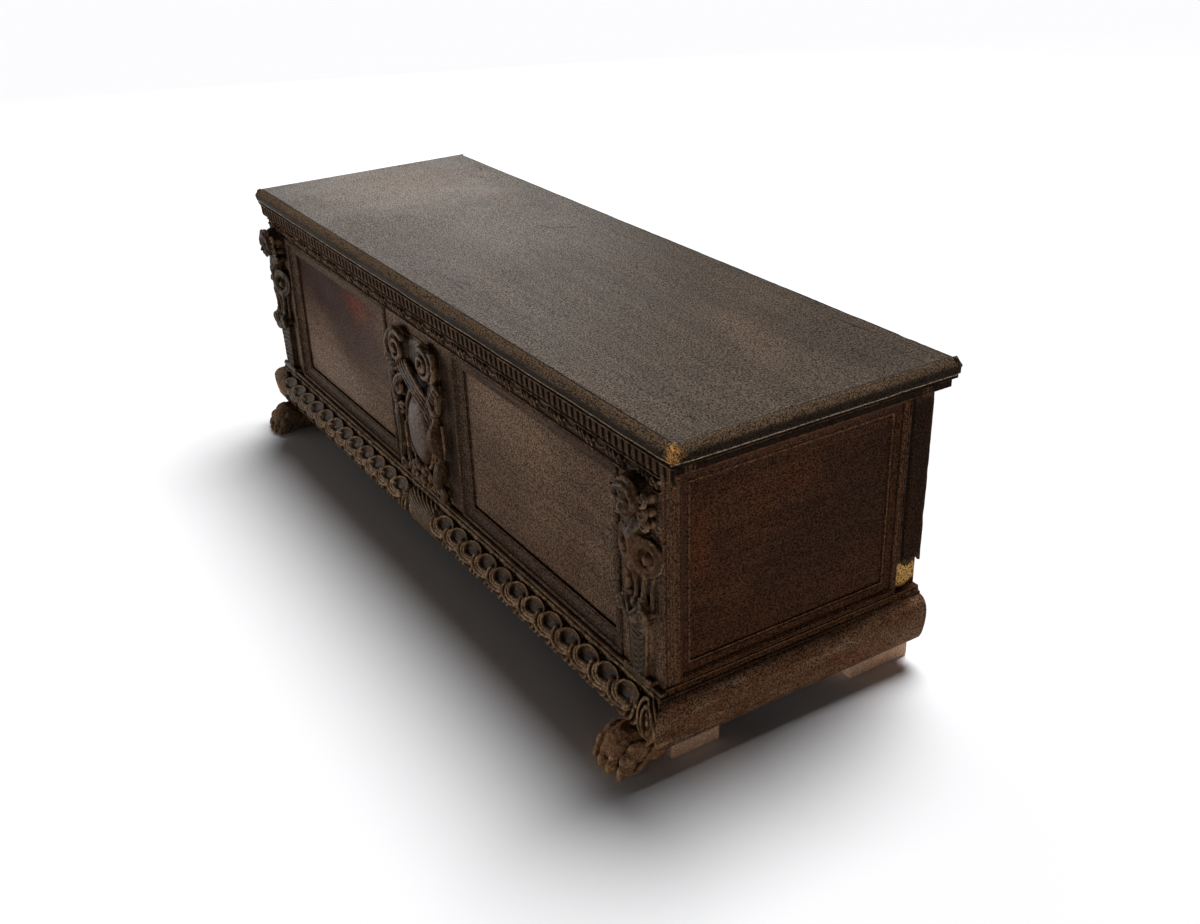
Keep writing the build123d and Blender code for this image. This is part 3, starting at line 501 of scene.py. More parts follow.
def front_marks(graph, vector, colour):
    """Paler, darker and redder patches, most at the left of the front, painted shadow of the
    cartouche on the stile either side, and lined end faces.
    """
    colour = spots(graph, vector, colour, [
        ((x, FACE_Y, z), (along, 0.10, up), tint, strength)
        for x, z, along, up, tint, strength in (
            (-0.50, 0.215, 0.32, 0.09, (0.170, 0.115, 0.082), 0.6),
            (0.30, 0.41, 0.20, 0.09, (0.170, 0.108, 0.070), 0.5),
            (-0.50, 0.430, 0.38, 0.15, (0.024, 0.008, 0.004), 1.0),
            (-0.35, 0.36, 0.22, 0.15, (0.036, 0.016, 0.010), 0.7),
            (-0.33, 0.43, 0.10, 0.06, (0.120, 0.026, 0.010), 0.5),
            # Painted shadow of the cartouche on the stile either side of it, darker at its right.
            (0.128, 0.30, 0.036, 0.24, (0.014, 0.008, 0.006), 0.8),
            (-0.128, 0.30, 0.036, 0.24, (0.020, 0.012, 0.009), 0.5))], 0.7, 0.75, 6.0)
    axes = graph.split(vector)
    groove = (0.012, 0.007, 0.004)
    cheek = colour
    # Pale lines and dark grooves drawn on the flat end faces; the dark grooves are painted shade.
    for line, tint in (
        (0.003, (0.16, 0.080, 0.040)), (0.007, groove), (0.011, (0.14, 0.070, 0.034)),
        (0.016, groove), (0.020, (0.15, 0.075, 0.036)), (0.027, (0.13, 0.060, 0.030)),
    ):
        cheek = line_on(graph, cheek, axes["Y"], FACE_Y + line, 0.0020, tint, 0.55)
    cheek = graph.mix(1.0, cheek, rgba((0.76, 0.62, 0.50)), "MULTIPLY")
    side = graph.math("GREATER_THAN", axes["X"], BODY_X - 0.0012)
    return graph.mix(side, colour, cheek)


def carving_marks(graph, vector, colour):
    """The shield's dome, the scrolls and the collars, handled paler and redder than the rest."""
    near, foot = FACE_Y - 0.02, PILASTER_LOW.z
    return spots(graph, vector, colour, (
        ((0.0, FACE_Y - 0.022, 0.277), (0.048, 0.020, 0.073), (0.120, 0.084, 0.067), 0.8),
        ((PILASTER_X, near, foot + 0.226), (0.060, 0.040, 0.040), (0.090, 0.040, 0.018), 0.6),
        ((-PILASTER_X, near, 0.32), (0.090, 0.080, 0.240), (0.026, 0.018, 0.011), 0.6),
        ((PILASTER_X + 0.030, near, foot + 0.096), (0.024, 0.030, 0.016),
         (0.150, 0.090, 0.060), 0.7),
        ((PILASTER_X, near, foot + 0.040), (0.030, 0.030, 0.060), (0.050, 0.036, 0.020), 0.6),
    ), 0.5, 0.4, 30.0)


def cornice_marks(graph, vector, colour):
    """Painted shade in the gaps between the tongues of the cornice."""
    count = int(2 * CORNICE_HIGH.x / bpy.context.scene.chest_sizes.tongue_pitch)
    axes = graph.split(vector)
    turns = graph.math("MULTIPLY", axes["X"], 2 * pi * count / (2 * CORNICE_HIGH.x))
    wave = graph.math("COSINE", graph.math("ADD", turns, pi * (count % 2 + 1)))
    gap_shade = graph.ramp(wave, 0.20, -0.25)
    below = graph.ramp(axes["Z"], CORNICE_HIGH.z - 0.0030, CORNICE_HIGH.z - 0.0042)
    above = graph.ramp(axes["Z"], CORNICE_LOW.z - 0.0010, CORNICE_LOW.z + 0.0010)
    mask = graph.math("MULTIPLY", gap_shade, graph.math("MULTIPLY", below, above))
    return graph.lay(colour, SHADE_AND_GRIME, mask, 0.9)


def round_marks(graph, vector, colour):
    """Long pale streaks rubbed along the plain half-round."""
    drawn = graph.vectors("MULTIPLY", vector, (30.0, 5.0, 70.0))[0]
    streaks = graph.ramp(graph.noise(drawn, 1.0, detail=4.0, roughness=0.7), 0.50, 0.72)
    strength = graph.ramp(graph.split(vector)["Y"], 0.30, -0.20, 0.25, 0.80)
    return graph.lay(colour, (0.190, 0.130, 0.085), streaks, strength)


def base_marks(graph, vector, colour):
    """Darker wood at the left of the base, and bare tan wood at its corners."""
    left = graph.ramp(graph.split(vector)["X"], -0.25, -0.75)
    colour = graph.lay(colour, (0.020, 0.014, 0.009), left, 0.55)
    return spots(graph, vector, colour, [
        ((side * (BODY_X + 0.018), BASE_LOW.y + 0.02, 0.075), (0.045, 0.032, 0.042),
         (0.33, 0.165, 0.055), 0.75) for side in (-1, 1)], 2.2, 1.0, 90.0)


def paw_marks(graph, vector, colour):
    """Claws and toes rubbed to bare tan wood, and a darker left paw."""
    middle = (PAW_LOW.x + PAW_HIGH.x) / 2
    colour = spots(graph, vector, colour, [
        ((side * middle, PAW_LOW.y + 0.006, 0.004), (0.055, 0.026, 0.018), (0.50, 0.28, 0.10), 0.9)
        for side in (-1, 1)], 1.8, 0.9, 90.0)
    left = graph.math("LESS_THAN", graph.split(vector)["X"], 0.0)
    return graph.lay(colour, (0.045, 0.034, 0.022), left, 0.75)


def forged_iron(name, colour):
    """Dark hand-forged iron with brown rust in its hollows."""
    material, graph, shader = new_material(name)
    vector = graph.place()
    dents = graph.noise(vector, 90.0, detail=4.0)
    rust = graph.ramp(graph.noise(vector, 60.0, detail=5.0, roughness=0.7), 0.46, 0.62)
    wear = use_group(graph, "edge wear", {"Vector": vector, "Edge Radius": 0.0012, "Amount": 0.6})
    shade = graph.mix(rust, rgba(colour), rgba((0.075, 0.032, 0.014)))
    bump = graph.node("ShaderNodeBump", {"Strength": 0.5, "Distance": 0.0012, "Height": dents})
    graph.feed(shader, {
        "Base Color": graph.mix(wear["Worn"], shade, rgba((0.13, 0.12, 0.11))),
        "Metallic": graph.ramp(rust, 0.0, 1.0, 0.85, 0.15),
        "Roughness": graph.ramp(dents, 0.3, 0.7, 0.5, 0.72), "Normal": bump.outputs["Normal"]})
    return material


FRONT = dict(
    edge=0.45, redness=0.3, marks=front_marks, inside=inside_mask, dark=0.7, light=1.3)
WOODS = {     # a colour of the chest, its share, the grain's direction, the worn tint (on crests partly painted highlight), the rest
    "lid walnut": ("lid", 1.0, ALONG_X, (0.105, 0.066, 0.040), dict(
        dark=0.74, light=1.22, edge=0.30, rough=0.46, redness=0.12, red=(0.10, 0.055, 0.033),
        marks=lid_marks, patchiness=30.0, cloud=5.0, clouding=0.32, inside=underside_mask,
        polish=lid_polish)),
    "front walnut upright": ("front", 1.0, ALONG_Z, None, FRONT),
    "front walnut": ("front", 1.0, ALONG_X, None, FRONT),
    "front moulding walnut": ("front", 0.62, ALONG_X, (0.150, 0.098, 0.060), dict(
        edge=0.7, dark=0.5, light=1.2)),
    "end walnut": ("end", 1.0, ALONG_Y, None, dict(
        edge=0.35, rough=0.48, redness=0.55, marks=end_marks, inside=inside_mask, dark=0.62,
        light=1.35)),
    "end moulding walnut": ("end", 1.0, ALONG_Y, (0.165, 0.095, 0.050), dict(
        rough=0.45, dark=0.6, light=1.3, edge_radius=0.0035, marks=moulding_marks)),
    "carved walnut": ("carving", 0.85, ALONG_Z, (0.250, 0.145, 0.080), dict(
        edge=0.9, rough=0.38, dark=0.6, light=1.3, redness=0.5, red=(0.070, 0.028, 0.010),
        shine=0.06, cuts=1.2, mottle=0.42, marks=carving_marks)),
    "cornice walnut": ("carving", 1.0, ALONG_X, (0.240, 0.155, 0.100), dict(
        edge=0.9, rough=0.45, dark=0.6, light=1.3, redness=0.25, cuts=1.2, mottle=0.5,
        marks=cornice_marks)),
    # The pale worn tint on the base's crests is partly painted highlight.
    "rubbed walnut": ("carving", 1.5, ALONG_X, (0.380, 0.240, 0.125), dict(
        rough=0.45, dark=0.65, light=1.45, marks=base_marks, patchiness=60.0, redness=0.5,
        red=(0.120, 0.052, 0.020), shine=0.06, cuts=1.0, mottle=0.5)),
    "paw walnut": ("carving", 5.6, ALONG_Y, (0.66, 0.46, 0.27), dict(
        dark=0.6, light=1.5, marks=paw_marks, patchiness=80.0, cuts=1.2, mottle=0.45)),
    "end round walnut": ("end", 2.1, ALONG_Y, (0.150, 0.098, 0.060), dict(
        edge=0.7, rough=0.45, dark=0.65, light=1.6, marks=round_marks)),
    "block wood": ("block", 1.0, ALONG_X, (0.60, 0.38, 0.25), dict(
        edge=0.5, rough=0.62, dark=0.75, light=1.25, redness=0.2, red=(0.34, 0.15, 0.08),
        mottle=0.3)),
    "inside wood": ("inside", 1.0, ALONG_X, (0.25, 0.16, 0.09), dict(
        edge=0.3, rough=0.7, dark=0.7, light=1.25, redness=0.1, mottle=0.3)),
    "broken wood": ("end", 0.45, ALONG_Z, (0.090, 0.050, 0.027), dict(
        edge=0.6, rough=0.55, dark=0.6, light=1.4)),
}
MATERIALS = {}


def finish_named(name):
    """The material of that name, made on first use."""
    if name not in MATERIALS:
        colours = bpy.context.scene.chest_colours
        if name in WOODS:
            colour, share, stretch, worn, settings = WOODS[name]
            base = rgba(getattr(colours, colour), share)[:3]
            MATERIALS[name] = aged_wood(name, base, stretch, worn or colours.worn, **settings)
        else:
            MATERIALS[name] = forged_iron(name, colours.iron)
    return MATERIALS[name]


# ---- mesh helpers -----------------------------------------------------------------------------
SAME_PLACE = 1e-6


def mark_crests(mesh, reach=0.0022, rounds=36):
    """Stores how far each point stands out of a softened copy of the shape: crests above zero."""
    count = len(mesh.vertices)
    place, normal = np.empty(count * 3), np.empty(count * 3)
    mesh.vertices.foreach_get("co", place)
    mesh.vertices.foreach_get("normal", normal)
    place = place.reshape(-1, 3)
    ends = np.empty(len(mesh.edges) * 2, int)
    mesh.edges.foreach_get("vertices", ends)
    first, second = ends.reshape(-1, 2).T
    valence = np.bincount(first, minlength=count) + np.bincount(second, minlength=count)
    soft = place.copy()
    for _ in range(rounds):
        total = np.zeros_like(soft)
        for axis in range(3):
            total[:, axis] = np.bincount(first, soft[second, axis], count)
            total[:, axis] += np.bincount(second, soft[first, axis], count)
        soft = (soft + total / np.maximum(valence, 1)[:, None]) / 2
    crest = ((place - soft) * normal.reshape(-1, 3)).sum(1) / reach
    stored = mesh.attributes.new("crest", "FLOAT", "POINT")
    stored.data.foreach_set("value", np.clip(crest, -1, 1).astype(np.float32))


def add_piece(name, bm, finish, node, body="carcase"):
    """Makes a finished piece of a bmesh: its material, slot, body and the node it stands for."""
    mesh = bpy.data.meshes.new(name)
    bm.to_mesh(mesh)
    bm.free()
    mesh.polygons.foreach_set("use_smooth", [True] * len(mesh.polygons))
    mark_crests(mesh)
    mesh.materials.append(finish_named(finish))
    piece = bpy.data.objects.new(name, mesh)
    bpy.context.scene.collection.objects.link(piece)
    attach(piece, body)
    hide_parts(node)


def add_pair(right, name, finish, node):
    """Adds a right-hand piece and its mirror image, whose faces still point outwards."""
    left = right.copy()
    bmesh.ops.scale(left, verts=left.verts, vec=(-1, 1, 1))
    bmesh.ops.reverse_faces(left, faces=left.faces)
    for side, bm in (("right", right), ("left", left)):
        add_piece(f"{name}_{side}", bm, finish, f"{node}_{side}")


def open_edges(bm):
    return [edge for edge in bm.edges if edge.is_boundary]


def cut_across(bm, axis, place):
    """Cuts the faces through at one place along an axis."""
    direction = [0, 0, 0]
    direction[axis] = 1
    bmesh.ops.bisect_plane(
        bm, geom=bm.verts[:] + bm.edges[:] + bm.faces[:], plane_co=[place] * 3,
        plane_no=direction, dist=SAME_PLACE)


def cut_cells(bm, low, size, axis, cell):
    """Cuts a block across into cells of about one size."""
    count = max(1, int(size[axis] / cell))
    for index in range(1, count):
        cut_across(bm, axis, low[axis] + size[axis] * index / count)


def box_of(low, high):
    """A plain box to be shaped, between two corners."""
    bm = bmesh.new()
    matrix = Matrix.Translation((low + high) / 2) @ Matrix.Diagonal((*(high - low), 1))
    bmesh.ops.create_cube(bm, size=1.0, matrix=matrix)
    return bm


def close_back(bm, move):
    """Runs the open edges of a sheet back, each new point by move(place), and closes them."""
    for item in bmesh.ops.extrude_edge_only(bm, edges=open_edges(bm))["geom"]:
        if isinstance(item, bmesh.types.BMVert):
            move(item.co)
    bmesh.ops.holes_fill(bm, edges=open_edges(bm), sides=0)
    bmesh.ops.recalc_face_normals(bm, faces=bm.faces)


def to_face(place):
    place.y = FACE_Y


def relief_sheet(columns, rows, shape, roughness):
    """A grid carved by shape(u, v) and closed at the front frame, then roughened by hand tools."""
    bm = bmesh.new()
    bmesh.ops.create_grid(bm, x_segments=columns, y_segments=rows, size=1.0)
    flat = np.array([vertex.co for vertex in bm.verts])
    for vertex, place in zip(bm.verts, shape(flat[:, 0], flat[:, 1])):
        vertex.co = place
    close_back(bm, to_face)
    hand_cut(bm, *roughness)
    return bm


def hand_cut(bm, depth, scale, seed):
    """Leaves the small unevenness of hand tools on a shape."""
    bm.normal_update()
    shift = Vector((seed, seed * 0.7, seed * 1.3))
    moved = [v.co + v.normal * depth * noise.noise(v.co * scale + shift) for v in bm.verts]
    for vertex, place in zip(bm.verts, moved):
        vertex.co = place


def ridge(distance, width=1.0):
    """Height from 0 to 1 of a rounded ridge, by distance from its line."""
    return np.sqrt(np.clip(1 - (distance / width) ** 2, 0, 1))


def bump(x, z, place, across, up):
    """Height of a rounded boss."""
    return ridge(np.hypot((x - place[0]) / across, (z - place[1]) / up))


def stroke(x, z, points, widths):
    """Height of a tapering stroke through points, one width for each point."""
    height = np.zeros_like(x)
    for start, end, first, last in zip(points, points[1:], widths, widths[1:]):
        run_x, run_z = end[0] - start[0], end[1] - start[1]
        share = ((x - start[0]) * run_x + (z - start[1]) * run_z) / (run_x**2 + run_z**2)
        share = np.clip(share, 0, 1)
        away = np.hypot(x - start[0] - share * run_x, z - start[1] - share * run_z)
        width = first + (last - first) * share
        height = np.maximum(height, ridge(away, width) * (width / max(widths)))
    return height


# ---- clay: carvings heaped up from balls and rods, then fused ---------------------------------
def smooth_path(points, steps=8):
    """Extra points on a smooth line through the given ones; each is any row of numbers."""
    rows = np.array([points[0], *points, points[-1]], float)
    path = []
    for index in range(1, len(rows) - 2):
        before, start, end, after = rows[index - 1:index + 3]
        for step in range(steps):
            t = step / steps
            path.append(0.5 * (
                2 * start + (end - before) * t
                + (2 * before - 5 * start + 4 * end - after) * t**2
                + (3 * start - before - 3 * end + after) * t**3))
    path.append(rows[-2])
    return path


def sided(side, rows):
    """Rows of a right-hand path, on the side given by 1 or -1."""
    return [(side * x, *rest) for x, *rest in rows]


class Clay:
    """Balls and rods on the front of the chest, in millimetres along, up from the foot, and out."""

    def __init__(self, middle_x, foot=0.0):
        self.bm = bmesh.new()
        self.middle_x = middle_x
        self.foot = foot

    def spot(self, x, z, out):
        return Matrix.Translation(
            (self.middle_x + x * MM, FACE_Y - out * MM, (self.foot + z) * MM))

    def ball(self, x, z, out, across, up, proud, fine=3):
        """An egg with three radii."""
        matrix = self.spot(x, z, out) @ Matrix.Diagonal((across * MM, proud * MM, up * MM, 1))
        bmesh.ops.create_icosphere(self.bm, subdivisions=fine, radius=1, matrix=matrix)

    def rod(self, rows, flat=1.0, smooth=True, sides=3):
        """A rod through rows of (x, z, out, width), pressed flat by a share of its width."""
        path = smooth_path(rows) if smooth else rows
        curve = bpy.data.curves.new("rod", "CURVE")
        curve.dimensions = "3D"
        curve.bevel_depth = 1.0
        curve.bevel_resolution = sides
        curve.use_fill_caps = True
        spline = curve.splines.new("POLY")
        spline.points.add(len(path) - 1)
        for point, (x, z, out, width) in zip(spline.points, path):
            point.co = (x * MM, -out * MM / flat, (self.foot + z) * MM, 1)
            point.radius = width * MM
        holder = bpy.data.objects.new("rod", curve)
        mesh = bpy.data.meshes.new_from_object(holder)
        mesh.transform(
            Matrix.Translation((self.middle_x, FACE_Y, 0)) @ Matrix.Diagonal((1, flat, 1, 1)))
        self.bm.from_mesh(mesh)
        bpy.data.objects.remove(holder)
        bpy.data.curves.remove(curve)
        bpy.data.meshes.remove(mesh)
        for x, z, out, width in (path[0], path[-1]):
            self.ball(x, z, out, width, width, width * flat, fine=2)

    def swag(self, half):
        """A rod through rows from its left end to the middle, and on to the right as mirrored."""
        self.rod(half + sided(-1, half[-2::-1]))

    def scroll(self, x, z, radius, turns, start, hand, width, out, inner, rise=0.0):
        """A rod along a spiral, from its outer end inwards."""
        steps = 44
        rows = []
        for step in range(steps + 1):
            share = step / steps
            angle = radians(start) + hand * 2 * pi * turns * share
            reach = radius * (1 - (1 - inner) * share)
            rows.append((x + reach * cos(angle), z + reach * sin(angle), out + rise * share,
                         width * (1 - 0.45 * share)))
        self.rod(rows, smooth=False)

    def curl(self, x, z, radius, side, out, width, turns=1.15, start=80):
        """A small scroll standing well forward, with a hollow eye."""
        self.ball(x, z, out * 0.4, radius * 0.8, radius * 0.8, out * 0.5, fine=2)
        self.scroll(x, z, radius, turns, start, side, width, out, inner=0.3, rise=4)

    def slab(self, x0, x1, z0, z1, out):
        """A block standing on the face."""
        matrix = self.spot((x0 + x1) / 2, (z0 + z1) / 2, out / 2)
        matrix = matrix @ Matrix.Diagonal(((x1 - x0) * MM, out * MM + 0.006, (z1 - z0) * MM, 1))
        bmesh.ops.create_cube(self.bm, size=1.0, matrix=matrix)

    def block(self, z0, half0, z1, half1, out):
        """A tapering block standing on the face: half its width at the foot and at the top."""
        for vertex in bmesh.ops.create_cube(self.bm, size=1.0)["verts"]:
            top = vertex.co.z > 0
            across = (half1 if top else half0) * (1 if vertex.co.x > 0 else -1)
            deep = -3 if vertex.co.y > 0 else out
            vertex.co = self.spot(across, z1 if top else z0, deep).translation

    def disc(self, radius, start, out):
        """A round block with a flat face, from start to out."""
        matrix = self.spot(0, 0, (start + out) / 2) @ Matrix.Rotation(pi / 2, 4, "X")
        bmesh.ops.create_cone(
            self.bm, cap_ends=True, segments=48, radius1=radius * MM, radius2=radius * MM,
            depth=(out - start) * MM, matrix=matrix)

    def leaf(self, rows, veins=3):
        """A fleshy leaf along rows of (x, z, out, width), with ridges down its length."""
        thick, spread = 0.7, 0.75
        path = np.array(smooth_path(rows))
        self.rod(path, flat=thick, smooth=False)
        run = np.gradient(path[:, :2], axis=0)
        run /= np.maximum(np.linalg.norm(run, axis=1), 1e-9)[:, None]
        for vein in range(veins):
            share = (vein + 0.5) / veins * 2 - 1
            line = path.copy()
            line[:, 0] -= run[:, 1] * path[:, 3] * share * spread
            line[:, 1] += run[:, 0] * path[:, 3] * share * spread
            line[:, 2] += path[:, 3] * thick * np.sqrt(1 - (share * spread) ** 2) * 0.95
            line[:, 3] = np.maximum(path[:, 3] * 0.17, 1.3)
            self.rod(line, smooth=False, sides=2)

    def take(self, other, matrix):
        """Adds another heap, moved by the matrix."""
        bmesh.ops.transform(other.bm, matrix=matrix, verts=other.bm.verts)
        stamp = bpy.data.meshes.new("stamp")
        other.bm.to_mesh(stamp)
        other.bm.free()
        self.bm.from_mesh(stamp)
        bpy.data.meshes.remove(stamp)

    def fused(self, grain, on_face=True):
        """All of it as one skin, softened, and cut flat and closed at the board behind."""
        mesh = bpy.data.meshes.new("clay")
        self.bm.to_mesh(mesh)
        self.bm.free()
        lump = bpy.data.objects.new("clay", mesh)
        bpy.context.scene.collection.objects.link(lump)
        fuse = lump.modifiers.new("fuse", "REMESH")
        fuse.mode = "VOXEL"
        fuse.voxel_size = grain
        ready = lump.evaluated_get(bpy.context.evaluated_depsgraph_get())
        skin = bpy.data.meshes.new_from_object(ready)
        bm = bmesh.new()
        bm.from_mesh(skin)
        bpy.data.objects.remove(lump)
        bpy.data.meshes.remove(mesh)
        bpy.data.meshes.remove(skin)
        bmesh.ops.smooth_vert(
            bm, verts=bm.verts, factor=0.5, use_axis_x=True, use_axis_y=True, use_axis_z=True)
        if on_face:
            back = (0, 1, 0)
            bmesh.ops.bisect_plane(
                bm, geom=bm.verts[:] + bm.edges[:] + bm.faces[:], plane_co=(0, FACE_Y, 0),
                plane_no=back, clear_outer=True)
            bmesh.ops.triangle_fill(bm, use_beauty=True, edges=open_edges(bm), normal=back)
        return bm


# ---- carved pieces ----------------------------------------------------------------------------
def carved_base(sizes):
    """Half-round of the base with leaning lobes, hooded eggs, ribs and a leaf at each corner."""
    reach = FACE_Y - BASE_LOW.y
    foot = reach * 0.25
    half_height = (BASE_HIGH.z - BASE_LOW.z) / 2
    middle = (BASE_LOW.z + BASE_HIGH.z) / 2
    spread = BASE_HIGH.x - BODY_X
    pitch = sizes.lobe_pitch
    lobes_to = BODY_X - sizes.corner_leaf
    unit = pitch / 57.0              # the lobe is drawn 57 units wide
    first_lobe = 101.0 * unit
    lobes = int((lobes_to - first_lobe) / pitch)
    band = 0.052                     # half the plain band in the middle

    def arc(x, up, centre, radii, width, first, last):
        """A ridge along part of an oval; angles in degrees from the right, upwards."""
        dx, dz = (x - centre[0]) / radii[0], (up - centre[1]) / radii[1]
        away = np.abs(np.hypot(dx, dz) - 1) * min(radii)
        angle = np.degrees(np.arctan2(dz, dx))
        angle = np.where(angle < first - 40, angle + 360, angle)
        inside = np.clip((angle - first) / 12, 0, 1) * np.clip((last - angle) / 12, 0, 1)
        return ridge(away, width) * inside

    def lobe(x, up):
        """Heights of one lobe: hooping ribs and small balls, and the dish that is cut into them."""
        away = np.hypot((x - 1) / 20.0, (up - 1) / 17.5)
        dish = 0.16 + 0.30 * away**2 + 0.006 * (x + up)
        turn = np.degrees(np.arctan2(up, x)) % 360
        ring = np.hypot(x / 1.08, up)
        hoop = np.clip((ring - 16) / 4, 0, 1) * np.clip((39 - ring) / 5, 0, 1)
        hoop = hoop * np.clip((turn - 118) / 22, 0, 1) * np.clip((280 - turn) / 16, 0, 1)
        parts = [
            hoop * (0.78 + 0.20 * np.cos((ring - 24) * 2 * pi / 8.0)),
            arc(x, up, (1, 1), (22.0, 19.5), 2.6, -60, 268) * 0.92,
            arc(x, up, (3, 3), (27.5, 24.5), 3.0, -6, 84) * 0.74,
            bump(x, up, (-8, -27), 9.0, 7.0), bump(x, up, (13, -24), 8.0, 6.5) * 0.90,
        ]
        for start in (-6, 4, 14):
            rib = [(start, -32), (start - 3, -46), (start - 8, -64)]
            parts.append(stroke(x, up, rib, [3.6, 4.2, 4.2]) * 0.82)
        return np.maximum.reduce(parts), dish, away < 1

    def corner_leaf(x, up):
        """Heights of the last leaf: two curled ribs, a hollow eye, and veins to the corner."""
        big = arc(x, up, (24, 2), (22, 36), 3.4, 75, 285)
        small = arc(x, up, (25, 0), (15, 26), 3.0, 80, 290) * 0.9
        vein = np.abs((((x + np.abs(up) * 0.7) / 8.0) % 2) - 1)
        leaf = np.where(x > 22, 0.50 + 0.42 * vein, 0.22)
        leaf = leaf * (np.hypot((x - 25) / 8, (up - 3) / 10) > 1)
        return np.maximum.reduce([big, small, bump(x, up, (25, 3), 8, 10) * 0.55, leaf])

    def shape(u, v):
        turn = v * pi / 2
        out = foot + (reach - foot) * np.cos(turn)
        z = middle + half_height * np.sin(turn)
        along = np.abs(u) * BODY_X
        rise = (z - middle - 0.64 * half_height) / MM
        swell = (out - foot - 0.766 * (reach - foot)) / MM
        place = np.clip(np.round((along - first_lobe) / pitch), 0, lobes)
        height = 0.44 + 0.06 * np.sin(u * BODY_X / MM * 0.7)
        for step in (-1, 0, 1):
            centre = first_lobe + np.clip(place + step, 0, lobes) * pitch
            run = (u * BODY_X - np.sign(u) * centre) / unit
            across = 0.56 * run - 1.04 * swell
            up = rise - 0.52 * run - 0.37 * swell
            ribs, dish, within = lobe(across, up)
            height = np.where(within, dish, np.maximum(height, ribs))
        ties = 0.56 + 0.26 * np.abs(((0.4 * u * BODY_X / MM + rise) / 4.0 % 2) - 1)
        height = np.where(along < band, np.maximum(height, ties), height)
        leaf = corner_leaf((along - lobes_to) / MM, v * 50.0)
        height = 0.12 + 0.88 * np.where(along > lobes_to, leaf, height)
        fade = np.clip((1 - v) / 0.10, 0, 1) * np.clip((1 + v) / 0.30, 0, 1)
        sunk = sizes.lobe_relief * (1 - height) * fade
        normal_out = np.cos(turn) * half_height
        normal_up = np.sin(turn) * (reach - foot)
        normal = np.hypot(normal_out, normal_up)
        out_carved = out - sunk * normal_out / normal
        x_place = u * (BODY_X + spread * out_carved / reach)
        return np.column_stack([x_place, FACE_Y - out_carved, z - sunk * normal_up / normal])

    return relief_sheet(940, 62, shape, (0.0006, 160.0, 3.1))


CAP_PROFILE = (                      # outwards and upwards, as shares of the moulding
    (0.30, 0.0), (0.30, 0.10), (0.16, 0.16), (0.12, 0.36), (0.22, 0.50), (0.46, 0.60),
    (0.92, 0.63), (1.0, 0.70), (1.0, 0.86), (0.90, 1.0))


def hollow_cap():
    """The moulding above the base: a dark hollow under a rubbed fillet, mitred at the corners."""
    low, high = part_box("base_cap_front")
    reach = FACE_Y - low.y
    spread = high.x - BODY_X
    outs, ups = np.array(CAP_PROFILE).T
    steps = np.hypot(np.diff(outs), np.diff(ups))
    places = np.concatenate([[0], np.cumsum(steps)]) / steps.sum()

    def shape(u, v):
        share = (v + 1) / 2
        out = np.interp(share, places, outs) * reach
        z = low.z + np.interp(share, places, ups) * (high.z - low.z)
        return np.column_stack([u * (BODY_X + spread * out / reach), FACE_Y - out, z])

    return relief_sheet(700, 30, shape, (0.0004, 150.0, 6.2))


def end_round():
    """Plain worn half-round along the right end, mitred to the front one."""
    low, high = ROUND_LOW.z, ROUND_HIGH.z
    reach = ROUND_HIGH.x - BODY_X
    foot = reach * 0.25
    fullest = low + (high - low) * 0.72
    bm = bmesh.new()
    bmesh.ops.create_grid(bm, x_segments=150, y_segments=28, size=1.0)
    for vertex in bm.verts:
        turn = vertex.co.y * pi / 2
        rise = high - fullest if turn > 0 else fullest - low
        out = foot + (reach - foot) * cos(turn)
        z = fullest + rise * sin(turn)
        start = FACE_Y - (FACE_Y - BASE_LOW.y) * out / reach
        y = start + (BACK_HIGH.y - start) * ((vertex.co.x + 1) / 2)
        rub = max(0.0, noise.noise(Vector((y * 9, z * 30, 2.0)))) * 0.0022
        vertex.co = (BODY_X + out - rub * cos(turn), y, z)

    def to_end(place):
        place.x = END_HIGH.x
        place.y = max(place.y, INSIDE_FRONT)

    close_back(bm, to_end)
    return bm


def fluted_cornice(sizes):
    """Row of round-footed tongues with dark gaps, flaring a little to the top."""
    low, high = CORNICE_LOW.z, CORNICE_HIGH.z
    half = CORNICE_HIGH.x
    reach = FACE_Y - CORNICE_LOW.y
    pitch = 2 * half / int(2 * half / sizes.tongue_pitch)
    tongue = pitch * 0.30

    def shape(u, v):
        x = u * half
        z = low + (high - low) * (v + 1) / 2
        local = (x + half) % pitch - pitch / 2
        foot_z = low + tongue + 0.0026
        away = np.where(z < foot_z, np.hypot(local, z - foot_z), np.abs(local))
        recess = ridge(away, tongue * 0.45) * 0.18
        height = np.clip(ridge(away, tongue)**0.6 - recess, 0, 1)
        lip = np.clip((z - (high - 0.0035)) / 0.001, 0, 1)
        flare = 0.72 + 0.28 * (v + 1) / 2
        out = reach * flare * (0.42 + 0.58 * np.maximum(height, lip))
        return np.column_stack([x, FACE_Y - out, z])

    return relief_sheet(1900, 24, shape, (0.0004, 220.0, 7.7))


